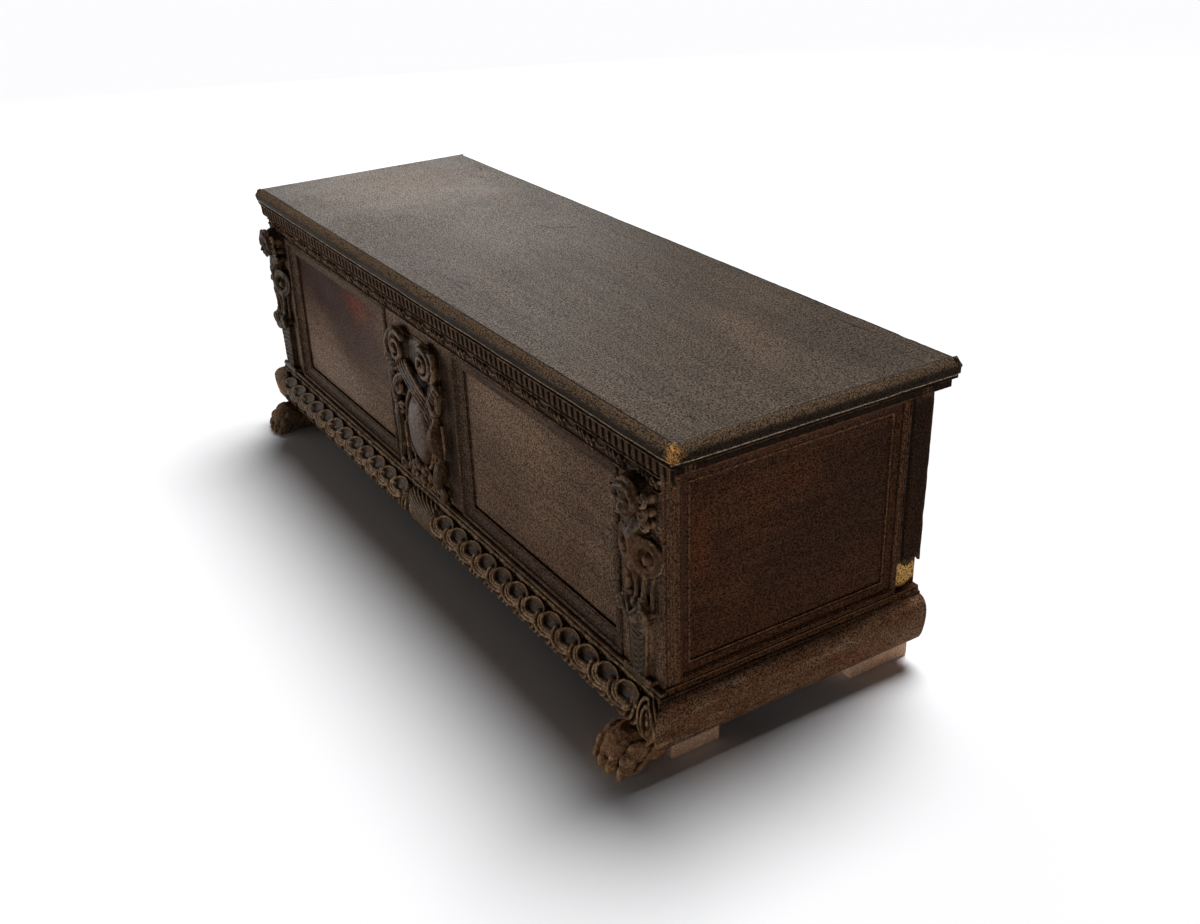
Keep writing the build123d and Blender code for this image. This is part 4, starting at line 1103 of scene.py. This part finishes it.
def leaf_frieze(sizes):
    """Band of small drooping leaves, each with three ticks beside it, between two thin fillets."""
    low, high = FRIEZE_LOW.z, FRIEZE_HIGH.z
    half = BODY_X
    reach = FACE_Y - FRIEZE_LOW.y
    pitch = 2 * half / int(2 * half / sizes.leaf_pitch)

    def shape(u, v):
        x = u * half
        z = low + (high - low) * (v + 1) / 2
        local = ((x + half) % pitch - pitch / 2) / MM
        up = (z - (low + high) / 2) / MM
        parts = [
            stroke(local, up, [(-44, 1), (-28, -2), (-14, 2)], [2.4, 3.0, 2.4]) * 0.42,
            bump(local, up, (24, -1), 6.5, 8.0),
            stroke(local, up, [(26, 6), (34, 2), (35, -7)], [3.0, 3.6, 2.4]) * 0.9,
            bump(local, up, (40, 4), 4.0, 4.5) * 0.6,
            np.clip((np.abs(up) - 11.4) / 0.6, 0, 1) * 0.55,
        ]
        for start in (-9, 1, 11):
            tick = [(start - 4, 6), (start + 1, 1), (start + 2, -5)]
            parts.append(stroke(local, up, tick, [2.0, 3.2, 2.0]) * 0.75)
        out = reach * (0.12 + 0.88 * np.maximum.reduce(parts))
        return np.column_stack([x, FACE_Y - out, z])

    return relief_sheet(1700, 26, shape, (0.0006, 180.0, 1.9))


def calm_head(clay, z, out):
    """A small plain face with even, quiet features under a rounded hood."""
    clay.ball(0, z, out, 18, 22, 16)
    clay.ball(0, z - 14, out + 5, 8, 8, 9, fine=2)
    clay.rod([(0, z + 6, out + 15, 2.6), (0, z - 1, out + 18, 2.4), (0, z - 4, out + 18.5, 3.0)])
    for side in (-1, 1):
        clay.rod(sided(side, [
            (2.5, z + 7, out + 15, 2.3), (8, z + 8.5, out + 14, 2.6), (14, z + 4, out + 8, 2.0)]))
        clay.ball(side * 6.5, z + 2.6, out + 12.5, 3.6, 2.4, 3.0, fine=2)
        clay.ball(side * 8.5, z - 5, out + 10, 5.5, 6, 5, fine=2)
    clay.swag([(-4.5, z - 9.4, out + 13.4, 1.6), (0, z - 8.8, out + 15, 1.9)])
    clay.swag([(-3.8, z - 12.2, out + 13.2, 1.5), (0, z - 12.8, out + 14.8, 1.9)])
    for lock in range(-3, 4):
        clay.rod([(lock * 4.6, z + 12, out + 13 - abs(lock) * 2.0, 2.8),
                  (lock * 6.0, z + 19, out + 14 - abs(lock) * 2.4, 3.2)])
    for level, back, width in ((0, 0, 6.4), (9, 4, 4.6)):
        angles = [pi * (step / 12 * 1.16 - 0.08) for step in range(13)]
        clay.rod([
            ((25 + level * 0.4) * cos(angle), z + 8 + (20 + level) * sin(angle),
             out + 8 - back, width) for angle in angles], smooth=False)


def splayed_volute(clay, side, x, z):
    """A round scroll turned outwards: a broad curled rim, a deep hollow and a round boss."""
    volute = Clay(PILASTER_X)
    volute.disc(33, -14, 5)
    volute.scroll(0, 0, 24.5, 1.1, 262, -side, 10.5, 9, inner=0.80, rise=4)
    volute.scroll(0, 0, 32, 1.0, 262, -side, 4.2, 13, inner=0.90, rise=3)
    volute.ball(-side * 20, -12, 9, 9, 16, 9)
    volute.ball(side * 4, -1, 11, 10.5, 11.5, 13)
    pivot = Vector((PILASTER_X, FACE_Y, 0))
    place = Matrix.Translation((x * MM, 0, (clay.foot + z) * MM)) @ Matrix.Translation(pivot)
    place = place @ Matrix.Rotation(radians(side * 17), 4, "Z") @ Matrix.Translation(-pivot)
    clay.take(volute, place)


def pilaster(grain):
    """Right-hand pilaster: hooded head, small torso, splayed scrolls, straps, collar and shaft."""
    clay = Clay(PILASTER_X, RELIEF_FOOT)
    clay.slab(-35, 35, 0, 9, 15)
    clay.rod([(-34, 10, 14, 3.4), (34, 10, 14, 3.4)], smooth=False)
    foot, neck = 12, 116
    clay.block(foot, 22, neck, 28, 13)
    for side in (-1, 1):
        clay.rod(sided(side, [(20.5, foot, 13, 1.7), (26, neck, 13, 2.0)]), smooth=False)
    for row in range(9):
        z = foot + 7 + row * 10.6
        wide = 15.5 + row * 0.65
        clay.ball(0, z + 3, 11, wide, 6.4, 4.6, fine=2)
        clay.swag([(-wide, z + 6, 13, 1.3), (-wide * 0.72, z - 0.5, 15.2, 1.7),
                   (0, z - 3.6, 16.6, 2.0)])
    clay.ball(0, 132, 8, 31, 17, 14)
    clay.swag([(-24, 130, 20, 6.5), (-10, 117, 23, 7), (0, 113, 24, 6)])
    clay.swag([(-20, 144, 17, 4), (-7, 128, 23, 4.4), (0, 122, 25, 3.4)])
    for side in (-1, 1):
        clay.curl(side * 30, 130, 10.5, -side, 22, 4.6, start=250)
        clay.rod(sided(side, [
            (14, 148, 14, 6), (26, 138, 19, 6.5), (35, 124, 22, 5), (30, 116, 22, 3.4)]))
    clay.block(144, 22, 196, 27, 3)
    for side in (-1, 1):
        clay.rod(sided(side, [
            (27, 198, 13, 7), (22, 176, 13, 5.2), (20, 156, 14, 5.2), (26, 140, 15, 6.5)]))
        clay.rod(sided(side, [(36, 196, 6, 3.6), (32, 172, 7, 3.0), (34, 142, 8, 4)]))
    clay.rod([(0, 204, 19, 9), (0, 182, 14, 4.6), (0, 154, 13, 4.2), (0, 138, 18, 6)])
    clay.slab(-28, 28, 200, 262, 9)
    for side in (-1, 1):
        splayed_volute(clay, side, side * 23, 226)
    clay.rod([(0, 260, 20, 8), (0, 240, 22, 6.5), (0, 216, 20, 5.5), (0, 196, 17, 6)])
    bust = 276
    clay.ball(0, bust, 9, 25, 28, 15)
    clay.ball(0, bust - 16, 15, 19, 12, 12)
    for row in range(6):
        for column in range(-2, 3):
            x = column * 7.8 + (2.0 if row % 2 else -1.9)
            out = 22.5 - abs(x) * 0.32
            clay.ball(x, bust + 19 - row * 7.0, out, 3.9, 3.3, 3.8, fine=2)
    clay.swag([(-25, bust + 16, 14, 4.6), (-13, bust - 8, 21, 3.2), (0, bust - 22, 26, 4)])
    for side in (-1, 1):
        for z, radius, out in ((327, 11.5, 25), (304, 10.0, 23), (285, 9.0, 20)):
            clay.curl(side * 34, z, radius, -side, out, 4.2, start=70)
    calm_head(clay, 310, 24)
    clay.ball(0, 330, 8, 38, 20, 20)
    bm = clay.fused(grain)
    hand_cut(bm, 0.0008, 190.0, 5.3)
    return bm


LEFT_LEAVES = (                      # rows of (x, z, out, width), and how many veins
    ([(-92, 256, 10, 9), (-102, 226, 13, 11), (-101, 192, 13, 11.5), (-92, 158, 13, 12)], 4),
    ([(-96, 172, 10, 9), (-86, 140, 14, 13), (-82, 106, 15, 13), (-92, 74, 13, 10),
      (-98, 52, 12, 7)], 4),
    ([(-80, 92, 10, 8), (-92, 62, 13, 10), (-94, 36, 13, 9), (-84, 20, 14, 7)], 2),
)
RIGHT_RODS = (                       # husks and stems as rows of (x, z, out, width)
    [(88, 190, 12, 6), (84, 172, 14, 10), (82, 148, 16, 18.5), (86, 126, 16, 17.5),
     (92, 107, 14, 9), (95, 96, 13, 6.0)],
    [(95, 98, 13, 6.0), (91, 84, 15, 13.5), (86, 62, 16, 15.0), (82, 44, 15, 9.5),
     (84, 34, 14, 6.5)],
    [(103, 172, 12, 2.8), (110, 140, 13, 3.6), (106, 106, 12, 3.0)],
    [(66, 170, 14, 2.6), (60, 140, 16, 3.2), (68, 108, 15, 2.8), (64, 78, 14, 2.8)],
)
FRUIT = (                            # place and radius
    (-36, 34, 11), (-15, 44, 12), (10, 42, 13), (34, 34, 11), (-26, 16, 11), (0, 21, 12),
    (24, 14, 10), (-50, 16, 9), (50, 20, 10), (-4, 4, 8), (62, 44, 8), (-60, 46, 8))


def cartouche(grain):
    """Domed shield under two scroll heads and crossed straps, with leafy sides and fruit below."""
    clay = Clay(0.0, RELIEF_FOOT)
    shield_z = 128
    clay.ball(0, shield_z, 0, 96, 130, 9)
    clay.ball(0, 262, 0, 88, 56, 10)
    clay.ball(0, 40, 0, 84, 38, 9)
    angles = [2 * pi * step / 48 for step in range(49)]
    clay.rod([(58 * sin(angle), shield_z + 84 * cos(angle), 10, 5.5) for angle in angles],
             smooth=False)
    clay.ball(0, shield_z, 3, 52, 77, 24, fine=4)
    for side in (-1, 1):
        x, z = side * 60, 283
        clay.ball(x, z, 4, 38, 38, 14)
        clay.scroll(x, z, 32, 1.7, 90 + side * 40, -side, 8.2, 15, inner=0.2, rise=9)
        clay.scroll(x, z, 39, 0.8, 90 + side * 30, -side, 3.4, 11, inner=0.9)
        clay.ball(side * 62, z - 2, 20, 7.0, 7.0, 8, fine=2)
        clay.rod(sided(side, [(68, z + 33, 12, 6), (92, z + 25, 14, 6.5), (106, z + 2, 18, 7),
                              (102, z - 17, 21, 5.5), (94, z - 22, 22, 3.5)]))
        for finger in range(4):
            x, z = 108 - finger * 8, 256 - finger * 9
            clay.leaf(sided(side, [
                (x - 18, z + 9, 13, 5.5), (x, z, 21, 6.0), (x + 5, z - 13, 18, 3.0)]), veins=1)
        clay.leaf(sided(side, [
            (52, 228, 12, 8), (70, 216, 16, 10), (84, 198, 17, 9), (90, 184, 14, 5)]))
        clay.scroll(side * 80, 190, 14, 1.3, 90, side, 5.4, 13, inner=0.25, rise=6)
        clay.ball(side * 80, 190, 6, 14, 14, 9, fine=2)
    for strap in range(4):
        shift = strap * 11.5
        clay.rod([
            (-62 + shift, 244 + shift * 0.6, 17, 4.4), (-34 + shift, 236 + shift * 0.5, 21, 5.0),
            (10 + shift, 214 + shift * 0.5, 23, 5.0),
            (46 + shift * 0.7, 186 + shift * 0.8, 19, 4.8),
            (62 + shift * 0.5, 160 + shift * 0.9, 15, 4.0)])
    for rows, veins in LEFT_LEAVES:
        clay.leaf(rows, veins)
    clay.rod([(-108, 200, 9, 3.4), (-104, 140, 10, 3.6), (-104, 84, 10, 3.6), (-106, 40, 10, 3.4)])
    clay.scroll(-84, 25, 16, 1.3, 120, 1, 6.2, 13, inner=0.28, rise=6)
    clay.scroll(-68, 150, 13, 1.2, 60, 1, 4.6, 14, inner=0.3, rise=5)
    clay.rod([(-62, 122, 13, 5), (-56, 98, 15, 6), (-62, 70, 13, 4.5)])
    clay.leaf([(96, 250, 10, 9), (103, 226, 14, 10), (98, 204, 14, 8)])
    clay.ball(88, 198, 15, 12, 10, 11, fine=2)
    clay.ball(76, 186, 14, 7, 8, 8, fine=2)
    for rows in RIGHT_RODS:
        clay.rod(rows)
    clay.curl(86, 22, 15.5, -1, 17, 6.0, turns=1.3, start=60)
    clay.ball(99, 10, 12, 7, 7, 8, fine=2)
    for x, z, size in FRUIT:
        clay.ball(x, z, 10, size, size * 1.05, size, fine=2)
    for side in (-1, 1):
        for leaf in range(3):
            clay.leaf(sided(side, [
                (12 + leaf * 15, 48 - leaf * 6, 10, 5.5), (24 + leaf * 17, 54 - leaf * 11, 15, 5.5),
                (33 + leaf * 18, 44 - leaf * 14, 13, 3)]), veins=1)
    bm = clay.fused(grain * 1.06)
    hand_cut(bm, 0.0008, 170.0, 9.1)
    return bm


def lion_paw(grain):
    """Right-hand paw: four toes with claws under a curly ankle."""
    clay = Clay((PAW_LOW.x + PAW_HIGH.x) / 2)
    clay.ball(0, 30, 26, 42, 34, 50)
    clay.ball(0, 24, 2, 43, 28, 26)
    clay.ball(6, 26, 8, 38, 27, 34)
    clay.ball(0, 40, 20, 38, 22, 32)
    for toe in range(4):
        off = toe - 1.5
        x, reach, turn = off * 21.0, 79 - abs(off) * 6, off * 1.2
        clay.ball(x, 36, reach - 33, 12.0, 20, 23)
        clay.ball(x + turn, 25, reach - 13, 11.6, 17, 15)
        clay.ball(x + turn, 13, reach - 10, 11.0, 12, 13)
        clay.rod([(x + turn, 22, reach - 3, 5.4), (x + turn * 1.6, 13, reach + 3, 5.2),
                  (x + turn * 2, 5, reach + 4, 3.8), (x + turn * 2, 1, reach + 2, 2.2)])
        for side in (-1, 1):
            clay.rod([(x + side * 6.5 + turn, 30, reach - 14, 3.2),
                      (x + side * 7 + turn, 14, reach - 2, 3.4)])
    for lock in range(22):
        angle = lock * 2.4
        spread = (0.35 + 0.65 * ((lock * 7) % 11) / 10)
        x = 36 * sin(angle) * spread
        out = 30 + 24 * cos(angle) * spread
        z = 60 - abs(x) * 0.42 - max(0, out - 26) * 0.50
        clay.rod([
            (x, z, out - 9, 4.6), (x + 3.5, z + 2.5, out, 4.4), (x + 1, z - 4, out + 10, 2.4)])
    for side in (-1, 1):
        for lock in range(5):
            clay.rod(sided(side, [
                (37, 46 - lock * 8, 2 + lock * 7, 4.8), (41.0, 38 - lock * 7, 12 + lock * 8, 4.4),
                (38, 25 - lock * 5, 24 + lock * 8, 2.6)]))
    bm = clay.fused(grain, on_face=False)
    for vertex in bm.verts:
        vertex.co.z = min(max(vertex.co.z, 0.0), PAW_HIGH.z - 0.001)
        vertex.co.y = min(max(vertex.co.y, PAW_LOW.y + 0.0005), PAW_HIGH.y)
        vertex.co.x = min(max(vertex.co.x, PAW_LOW.x), PAW_HIGH.x)
    hand_cut(bm, 0.0008, 140.0, 4.4)
    for vertex in bm.verts:
        vertex.co.z = max(vertex.co.z, 0.0)
        vertex.co.y = max(vertex.co.y, PAW_LOW.y)
    return bm


ROUND_HEIGHT, ROUND_FALL = 0.017, 0.027   # where the lid's rounded edge and its fillet end
LID_DROPS = (0.0005, 0.0018, 0.004, 0.007, 0.0105, 0.014, 0.017, 0.022, 0.0265, 0.028, 0.031)
LID_CHIPS = (                        # place along the back edge, half width and depth
    (0.735, 0.012, 0.0060), (0.772, 0.008, 0.0035), (0.60, 0.02, 0.0025), (-0.10, 0.03, 0.0018))


def nosing(drop, height):
    """How far the lid's front edge stands in from its widest line, by drop below the top."""
    if drop < ROUND_HEIGHT:
        return 0.0125 * (1 - sin(pi / 2 * drop / ROUND_HEIGHT) ** 0.8)
    if drop < ROUND_FALL:
        return 0.0028 * (drop - ROUND_HEIGHT) / (ROUND_FALL - ROUND_HEIGHT)
    return 0.0028 + 0.0050 * (drop - ROUND_FALL) / (height - ROUND_FALL)


def worn_lid(sizes):
    """The lid: rubbed nosing, scribed line, dents, chips along the back and a bare near corner."""
    size = LID_HIGH - LID_LOW
    middle = (LID_HIGH + LID_LOW) / 2
    bm = box_of(LID_LOW, LID_HIGH)
    groove, rub_reach, round_reach, corner_reach = 0.0011, 0.016, 0.0125, 0.042
    scribe = sizes.scribe_inset + SCRIBE_MARGIN
    lines = (
        0.004, 0.008, scribe - 0.0012, scribe - groove, scribe, scribe + groove, scribe + 0.0024)
    cuts = []
    for axis in (0, 1):
        count = int(size[axis] / 0.010)
        cuts += [(axis, LID_LOW[axis] + size[axis] * index / count)
                 for index in range(3, count - 2)]
        cuts += [(axis, LID_LOW[axis] + line) for line in lines]
        cuts += [(axis, LID_HIGH[axis] - line) for line in lines]
    cuts += [(2, LID_HIGH.z - drop) for drop in LID_DROPS]
    for axis, place in cuts:
        cut_across(bm, axis, place)
    corner = Vector((LID_HIGH.x, LID_LOW.y, LID_HIGH.z - 0.012))
    for vertex in bm.verts:
        co = vertex.co.copy()
        from_side = Vector([size[axis] / 2 - abs(co[axis] - middle[axis]) for axis in (0, 1)])
        drop = LID_HIGH.z - co.z
        on_top = drop < SAME_PLACE
        share = 1.0 - min(min(from_side) / rub_reach, 1.0)
        if on_top and abs(min(from_side) - scribe) < 1e-5:
            vertex.co.z -= groove
        rough = 0.3 + noise.noise(co * 14) + 0.6 * noise.noise(co * 70)
        rub = sizes.lid_wear * share * max(0.0, rough)
        for place, width, deep in LID_CHIPS:
            if co.y > middle.y and share > 0:
                near = max(0.0, 1 - abs(co.x - place) / width)
                rub += deep * min(near * 1.6, 1.0) * share
        bared = max(0.0, 1 - (co - corner).length / corner_reach)
        rub += 0.004 * bared * (0.8 + 0.5 * noise.noise(co * 120))
        for axis in (0, 1):
            inward = nosing(drop, size.z)
            if drop > ROUND_HEIGHT and (axis == 0 or co.y > middle.y):
                inward = 0.0016 if drop < 0.0275 else 0.0046
            inward += rub
            towards = 1 if co[axis] < middle[axis] else -1
            if from_side[axis] < 1e-5:
                vertex.co[axis] += towards * inward
            elif from_side[axis] < round_reach and on_top:
                vertex.co[axis] += towards * inward * (1 - from_side[axis] / 0.014)
        if on_top:
            dent = abs(noise.noise(Vector((co.x * 3, co.y * 5, 0))))
            vertex.co.z -= 0.6 * rub + 0.0005 * dent
    bmesh.ops.recalc_face_normals(bm, faces=bm.faces)
    return bm


def softened_block(node, seed):
    """A foot block of the CAD node's size with rubbed edges."""
    low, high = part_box(node)
    bm = box_of(low, high)
    bmesh.ops.bevel(
        bm, geom=bm.edges[:], offset=0.004, affect="EDGES", segments=3, profile=0.5, material=-1)
    for axis in range(3):
        cut_cells(bm, low, high - low, axis, 0.006)
    bm.normal_update()
    for vertex in bm.verts:
        rubbed = max(0.0, noise.noise(vertex.co * 40 + Vector((seed, 0, 0))))
        vertex.co -= vertex.normal * rubbed * 0.0012
    return bm


def broken_strip():
    """The strip down the right end's rear edge, with splinters where its foot broke away."""
    low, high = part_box("end_strip_right")
    size = high - low
    torn_height = 0.030
    bm = box_of(low, high)
    upright = [e for e in bm.edges if abs(e.verts[0].co.z - e.verts[1].co.z) > size.z / 2]
    outer = [e for e in upright if all(v.co.x > high.x - 1e-5 for v in e.verts)]
    bmesh.ops.bevel(
        bm, geom=outer, offset=0.002, affect="EDGES", segments=2, profile=0.5, material=-1)
    for axis, cell in ((1, 0.003), (2, 0.004), (0, 0.003)):
        cut_cells(bm, low, size, axis, cell)
    for vertex in bm.verts:
        co = vertex.co
        across = (co.y - low.y) / size.y
        bead = abs(across - 0.16) * size.y
        if co.x > high.x - 0.004 and bead < 0.0024:
            co.x -= 0.0022
        if co.z < low.z + torn_height:
            splinters = noise.noise(Vector((co.y * 260, co.x * 200, 0)))
            torn = 0.012 * (0.5 + 0.5 * sin(across * 9 + 1)) + 0.008 * splinters
            co.z += max(0.0, torn) * (1 - (co.z - low.z) / torn_height)
        outer_edge = max(0.0, noise.noise(Vector((co.z * 40, co.y * 60, 5.0))))
        if co.y > high.y - 0.004:
            co.y -= outer_edge * 0.0025
    bmesh.ops.recalc_face_normals(bm, faces=bm.faces)
    return bm


# ---- operators --------------------------------------------------------------------------------
NODE_FINISHES = {                    # by how the names of the nodes start
    "front walnut upright": ("front_stile",),
    "front walnut": ("front_panel", "front_rail"),
    "front moulding walnut": (
        "panel_moulding", "base_cap_front", "frieze", "cornice_front", "base_gadroon"),
    "carved walnut": ("pilaster", "cartouche"),
    "paw walnut": ("lion_paw",),
    "end walnut": ("end_board", "end_strip"),
    "end moulding walnut": (
        "end_moulding", "base_cap_left", "base_cap_right", "cornice_left", "cornice_right"),
    "end round walnut": ("base_round",),
    "inside wood": ("back_board", "bottom_", "lid_batten"),
    "block wood": ("foot_block",),
    "lid walnut": ("lid_board",),
    "forged iron": ("hinge_",),
}


class CHEST_OT_boards(bpy.types.Operator):
    """Give every board, moulding and iron of the frame its own finish"""

    bl_idname = "chest.boards"
    bl_label = "Finish the boards"

    def execute(self, context):
        for node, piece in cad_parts.items():
            names = [name for name, starts in NODE_FINISHES.items() if node.startswith(starts)]
            if not names:
                raise RuntimeError(f"no finish for {node}")
            piece.data.materials.clear()
            piece.data.materials.append(finish_named(names[0]))
        return {"FINISHED"}


class CHEST_OT_lid(bpy.types.Operator):
    """Add the worn lid"""

    bl_idname = "chest.lid"
    bl_label = "Add the lid"

    def execute(self, context):
        bm = worn_lid(context.scene.chest_sizes)
        add_piece("worn_lid", bm, "lid walnut", "lid_board", body="lid")
        return {"FINISHED"}


class CHEST_OT_cornice(bpy.types.Operator):
    """Add the fluted cornice and the leaf frieze of the front"""

    bl_idname = "chest.cornice"
    bl_label = "Add cornice and frieze"

    def execute(self, context):
        sizes = context.scene.chest_sizes
        for name, make, node in (
            ("fluted_cornice", fluted_cornice, "cornice_front"),
            ("leaf_frieze", leaf_frieze, "frieze_carving"),
        ):
            add_piece(name, make(sizes), "cornice walnut", node)
        return {"FINISHED"}


class CHEST_OT_base(bpy.types.Operator):
    """Add the lobed base and the plain half-rounds of the ends"""

    bl_idname = "chest.base"
    bl_label = "Add the base"

    def execute(self, context):
        bm = carved_base(context.scene.chest_sizes)
        add_piece("lobed_base", bm, "rubbed walnut", "base_gadroon_front")
        add_piece("hollow_cap", hollow_cap(), "cornice walnut", "base_cap_front")
        add_pair(end_round(), "worn_round", "end round walnut", "base_round")
        return {"FINISHED"}


class CHEST_OT_pilasters(bpy.types.Operator):
    """Add the carved pilaster at each end of the front"""

    bl_idname = "chest.pilasters"
    bl_label = "Add the pilasters"

    def execute(self, context):
        bm = pilaster(context.scene.chest_sizes.carving_grain)
        add_pair(bm, "carved_pilaster", "carved walnut", "pilaster")
        return {"FINISHED"}


class CHEST_OT_cartouche(bpy.types.Operator):
    """Add the carved cartouche in the middle of the front"""

    bl_idname = "chest.cartouche"
    bl_label = "Add the cartouche"

    def execute(self, context):
        bm = cartouche(context.scene.chest_sizes.carving_grain)
        add_piece("carved_cartouche", bm, "carved walnut", "cartouche")
        return {"FINISHED"}


class CHEST_OT_feet(bpy.types.Operator):
    """Add the lion paws and the rubbed foot blocks"""

    bl_idname = "chest.feet"
    bl_label = "Add the feet"

    def execute(self, context):
        bm = lion_paw(context.scene.chest_sizes.carving_grain)
        add_pair(bm, "carved_paw", "paw walnut", "lion_paw")
        blocks = [node for node in sorted(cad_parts) if node.startswith("foot_block")]
        for index, node in enumerate(blocks):
            bm = softened_block(node, index * 3.7)
            add_piece(f"worn_{node}", bm, "block wood", node)
        return {"FINISHED"}


class CHEST_OT_strip(bpy.types.Operator):
    """Add the strip with its broken foot"""

    bl_idname = "chest.strip"
    bl_label = "Add the broken strip"

    def execute(self, context):
        add_piece("broken_strip", broken_strip(), "broken wood", "end_strip_right")
        return {"FINISHED"}


SOFTBOXES = (                        # name, place, length and height, watts
    ("low softbox", (-2.3, -2.9, 0.13), (2.2, 0.22), 44.0),
    ("side softbox", (3.0, -1.3, 0.16), (1.4, 0.22), 6.5),
    ("far softbox", (-4.6, 1.9, 1.7), (2.4, 2.4), 36.0),
)
FRAME_WIDTH, FRAME_HEIGHT = 1200, 924     # pixels
FOCAL_PIXELS = 1297.1
CENTRE_U, CENTRE_V = 591.1, 455.5
CAMERA_PLACE = (2.1278, -1.1277, 1.3465)
AZIMUTH, ELEVATION, ROLL = radians(59.10), radians(26.52), radians(-2.17)


class CHEST_OT_stage(bpy.types.Operator):
    """Set the pale floor, the soft light and the camera"""

    bl_idname = "chest.stage"
    bl_label = "Set the stage"

    def execute(self, context):
        scene = context.scene
        scene.view_settings.view_transform = "Standard"
        self.make_floor(scene)
        self.make_light(scene)
        self.make_camera(scene)
        return {"FINISHED"}

    def make_floor(self, scene):
        bm = bmesh.new()
        bmesh.ops.create_grid(bm, x_segments=1, y_segments=1, size=14.0)
        mesh = bpy.data.meshes.new("floor")
        bm.to_mesh(mesh)
        bm.free()
        material, graph, shader = new_material("pale floor")
        rays = graph.node("ShaderNodeLightPath").outputs
        seen = graph.math("MAXIMUM", rays["Is Camera Ray"], rays["Is Glossy Ray"])
        shade = graph.mix(seen, rgba((0.88, 0.88, 0.89)), rgba(scene.chest_colours.floor))
        graph.feed(shader, {"Base Color": shade, "Roughness": 0.9, "Specular IOR Level": 0.0})
        mesh.materials.append(material)
        floor = bpy.data.objects.new("floor", mesh)
        scene.collection.objects.link(floor)

    def make_light(self, scene):
        world = bpy.data.worlds.new("studio")
        world.use_nodes = True
        scene.world = world
        graph = Graph(world.node_tree)
        rays = graph.node("ShaderNodeLightPath").outputs
        soft = graph.ramp(rays["Is Glossy Ray"], 0.0, 1.0, 0.016, 0.10)
        graph.feed(world.node_tree.nodes["Background"].inputs, {
            "Strength": graph.math("MAXIMUM", soft, rays["Is Camera Ray"]),
            "Color": rgba((1.0, 1.0, 1.0))})
        sun = bpy.data.lights.new("key", "SUN")
        sun.angle = radians(31)
        sun.energy = 3.60
        self.hang(scene, sun, (0, 0, 0), Vector((0.22, -0.42, -1.0)))
        for name, place, size, watts in SOFTBOXES:
            lamp = bpy.data.lights.new(name, "AREA")
            lamp.shape = "RECTANGLE"
            lamp.size, lamp.size_y = size
            lamp.energy = watts
            self.hang(scene, lamp, place, Vector((0.0, 0.0, 0.4)) - Vector(place))

    def hang(self, scene, lamp, place, aim):
        holder = bpy.data.objects.new(lamp.name, lamp)
        holder.location = place
        holder.rotation_euler = aim.to_track_quat("-Z", "Y").to_euler()
        scene.collection.objects.link(holder)

    def make_camera(self, scene):
        back = Vector((
            sin(AZIMUTH) * cos(ELEVATION), -cos(AZIMUTH) * cos(ELEVATION), sin(ELEVATION)))
        across = Vector((0, 0, 1)).cross(back).normalized()
        up = back.cross(across)
        right = across * cos(ROLL) + up * sin(ROLL)
        top = up * cos(ROLL) - across * sin(ROLL)
        camera = bpy.data.cameras.new("camera")
        camera.sensor_fit = "HORIZONTAL"
        camera.sensor_width = 36.0
        camera.lens = FOCAL_PIXELS / FRAME_WIDTH * camera.sensor_width
        camera.shift_x = (FRAME_WIDTH / 2 - CENTRE_U) / FRAME_WIDTH
        camera.shift_y = (CENTRE_V - FRAME_HEIGHT / 2) / FRAME_WIDTH
        holder = bpy.data.objects.new("camera", camera)
        turn = Matrix((right, top, back)).transposed()
        holder.matrix_world = Matrix.Translation(CAMERA_PLACE) @ turn.to_4x4()
        scene.collection.objects.link(holder)
        scene.camera = holder


class CHEST_PT_panel(bpy.types.Panel):
    """Sizes, colours and steps of the chest"""

    bl_idname = "CHEST_PT_panel"
    bl_label = "Carved chest"
    bl_space_type = "VIEW_3D"
    bl_region_type = "UI"
    bl_category = "Chest"

    def draw(self, context):
        for group in (context.scene.chest_sizes, context.scene.chest_colours):
            box = self.layout.box()
            for name in group.__annotations__:
                box.prop(group, name)
        for step in STEPS:
            self.layout.operator(step.bl_idname)


STEPS = (
    CHEST_OT_stage, CHEST_OT_boards, CHEST_OT_lid, CHEST_OT_cornice, CHEST_OT_base,
    CHEST_OT_pilasters, CHEST_OT_cartouche, CHEST_OT_feet, CHEST_OT_strip,
)
CLASSES = (ChestSizes, ChestColours, *STEPS, CHEST_PT_panel)


def register():
    for item in CLASSES:
        bpy.utils.register_class(item)
    bpy.types.Scene.chest_sizes = PointerProperty(type=ChestSizes)
    bpy.types.Scene.chest_colours = PointerProperty(type=ChestColours)


def unregister():
    del bpy.types.Scene.chest_colours
    del bpy.types.Scene.chest_sizes
    for item in reversed(CLASSES):
        bpy.utils.unregister_class(item)


def main():
    register()
    bpy.ops.chest.stage()
    bpy.ops.chest.boards()
    bpy.ops.chest.lid()
    bpy.ops.chest.cornice()
    bpy.ops.chest.base()
    bpy.ops.chest.pilasters()
    bpy.ops.chest.cartouche()
    bpy.ops.chest.feet()
    bpy.ops.chest.strip()
    bpy.context.view_layer.update()


if __name__ == "__main__":
    main()
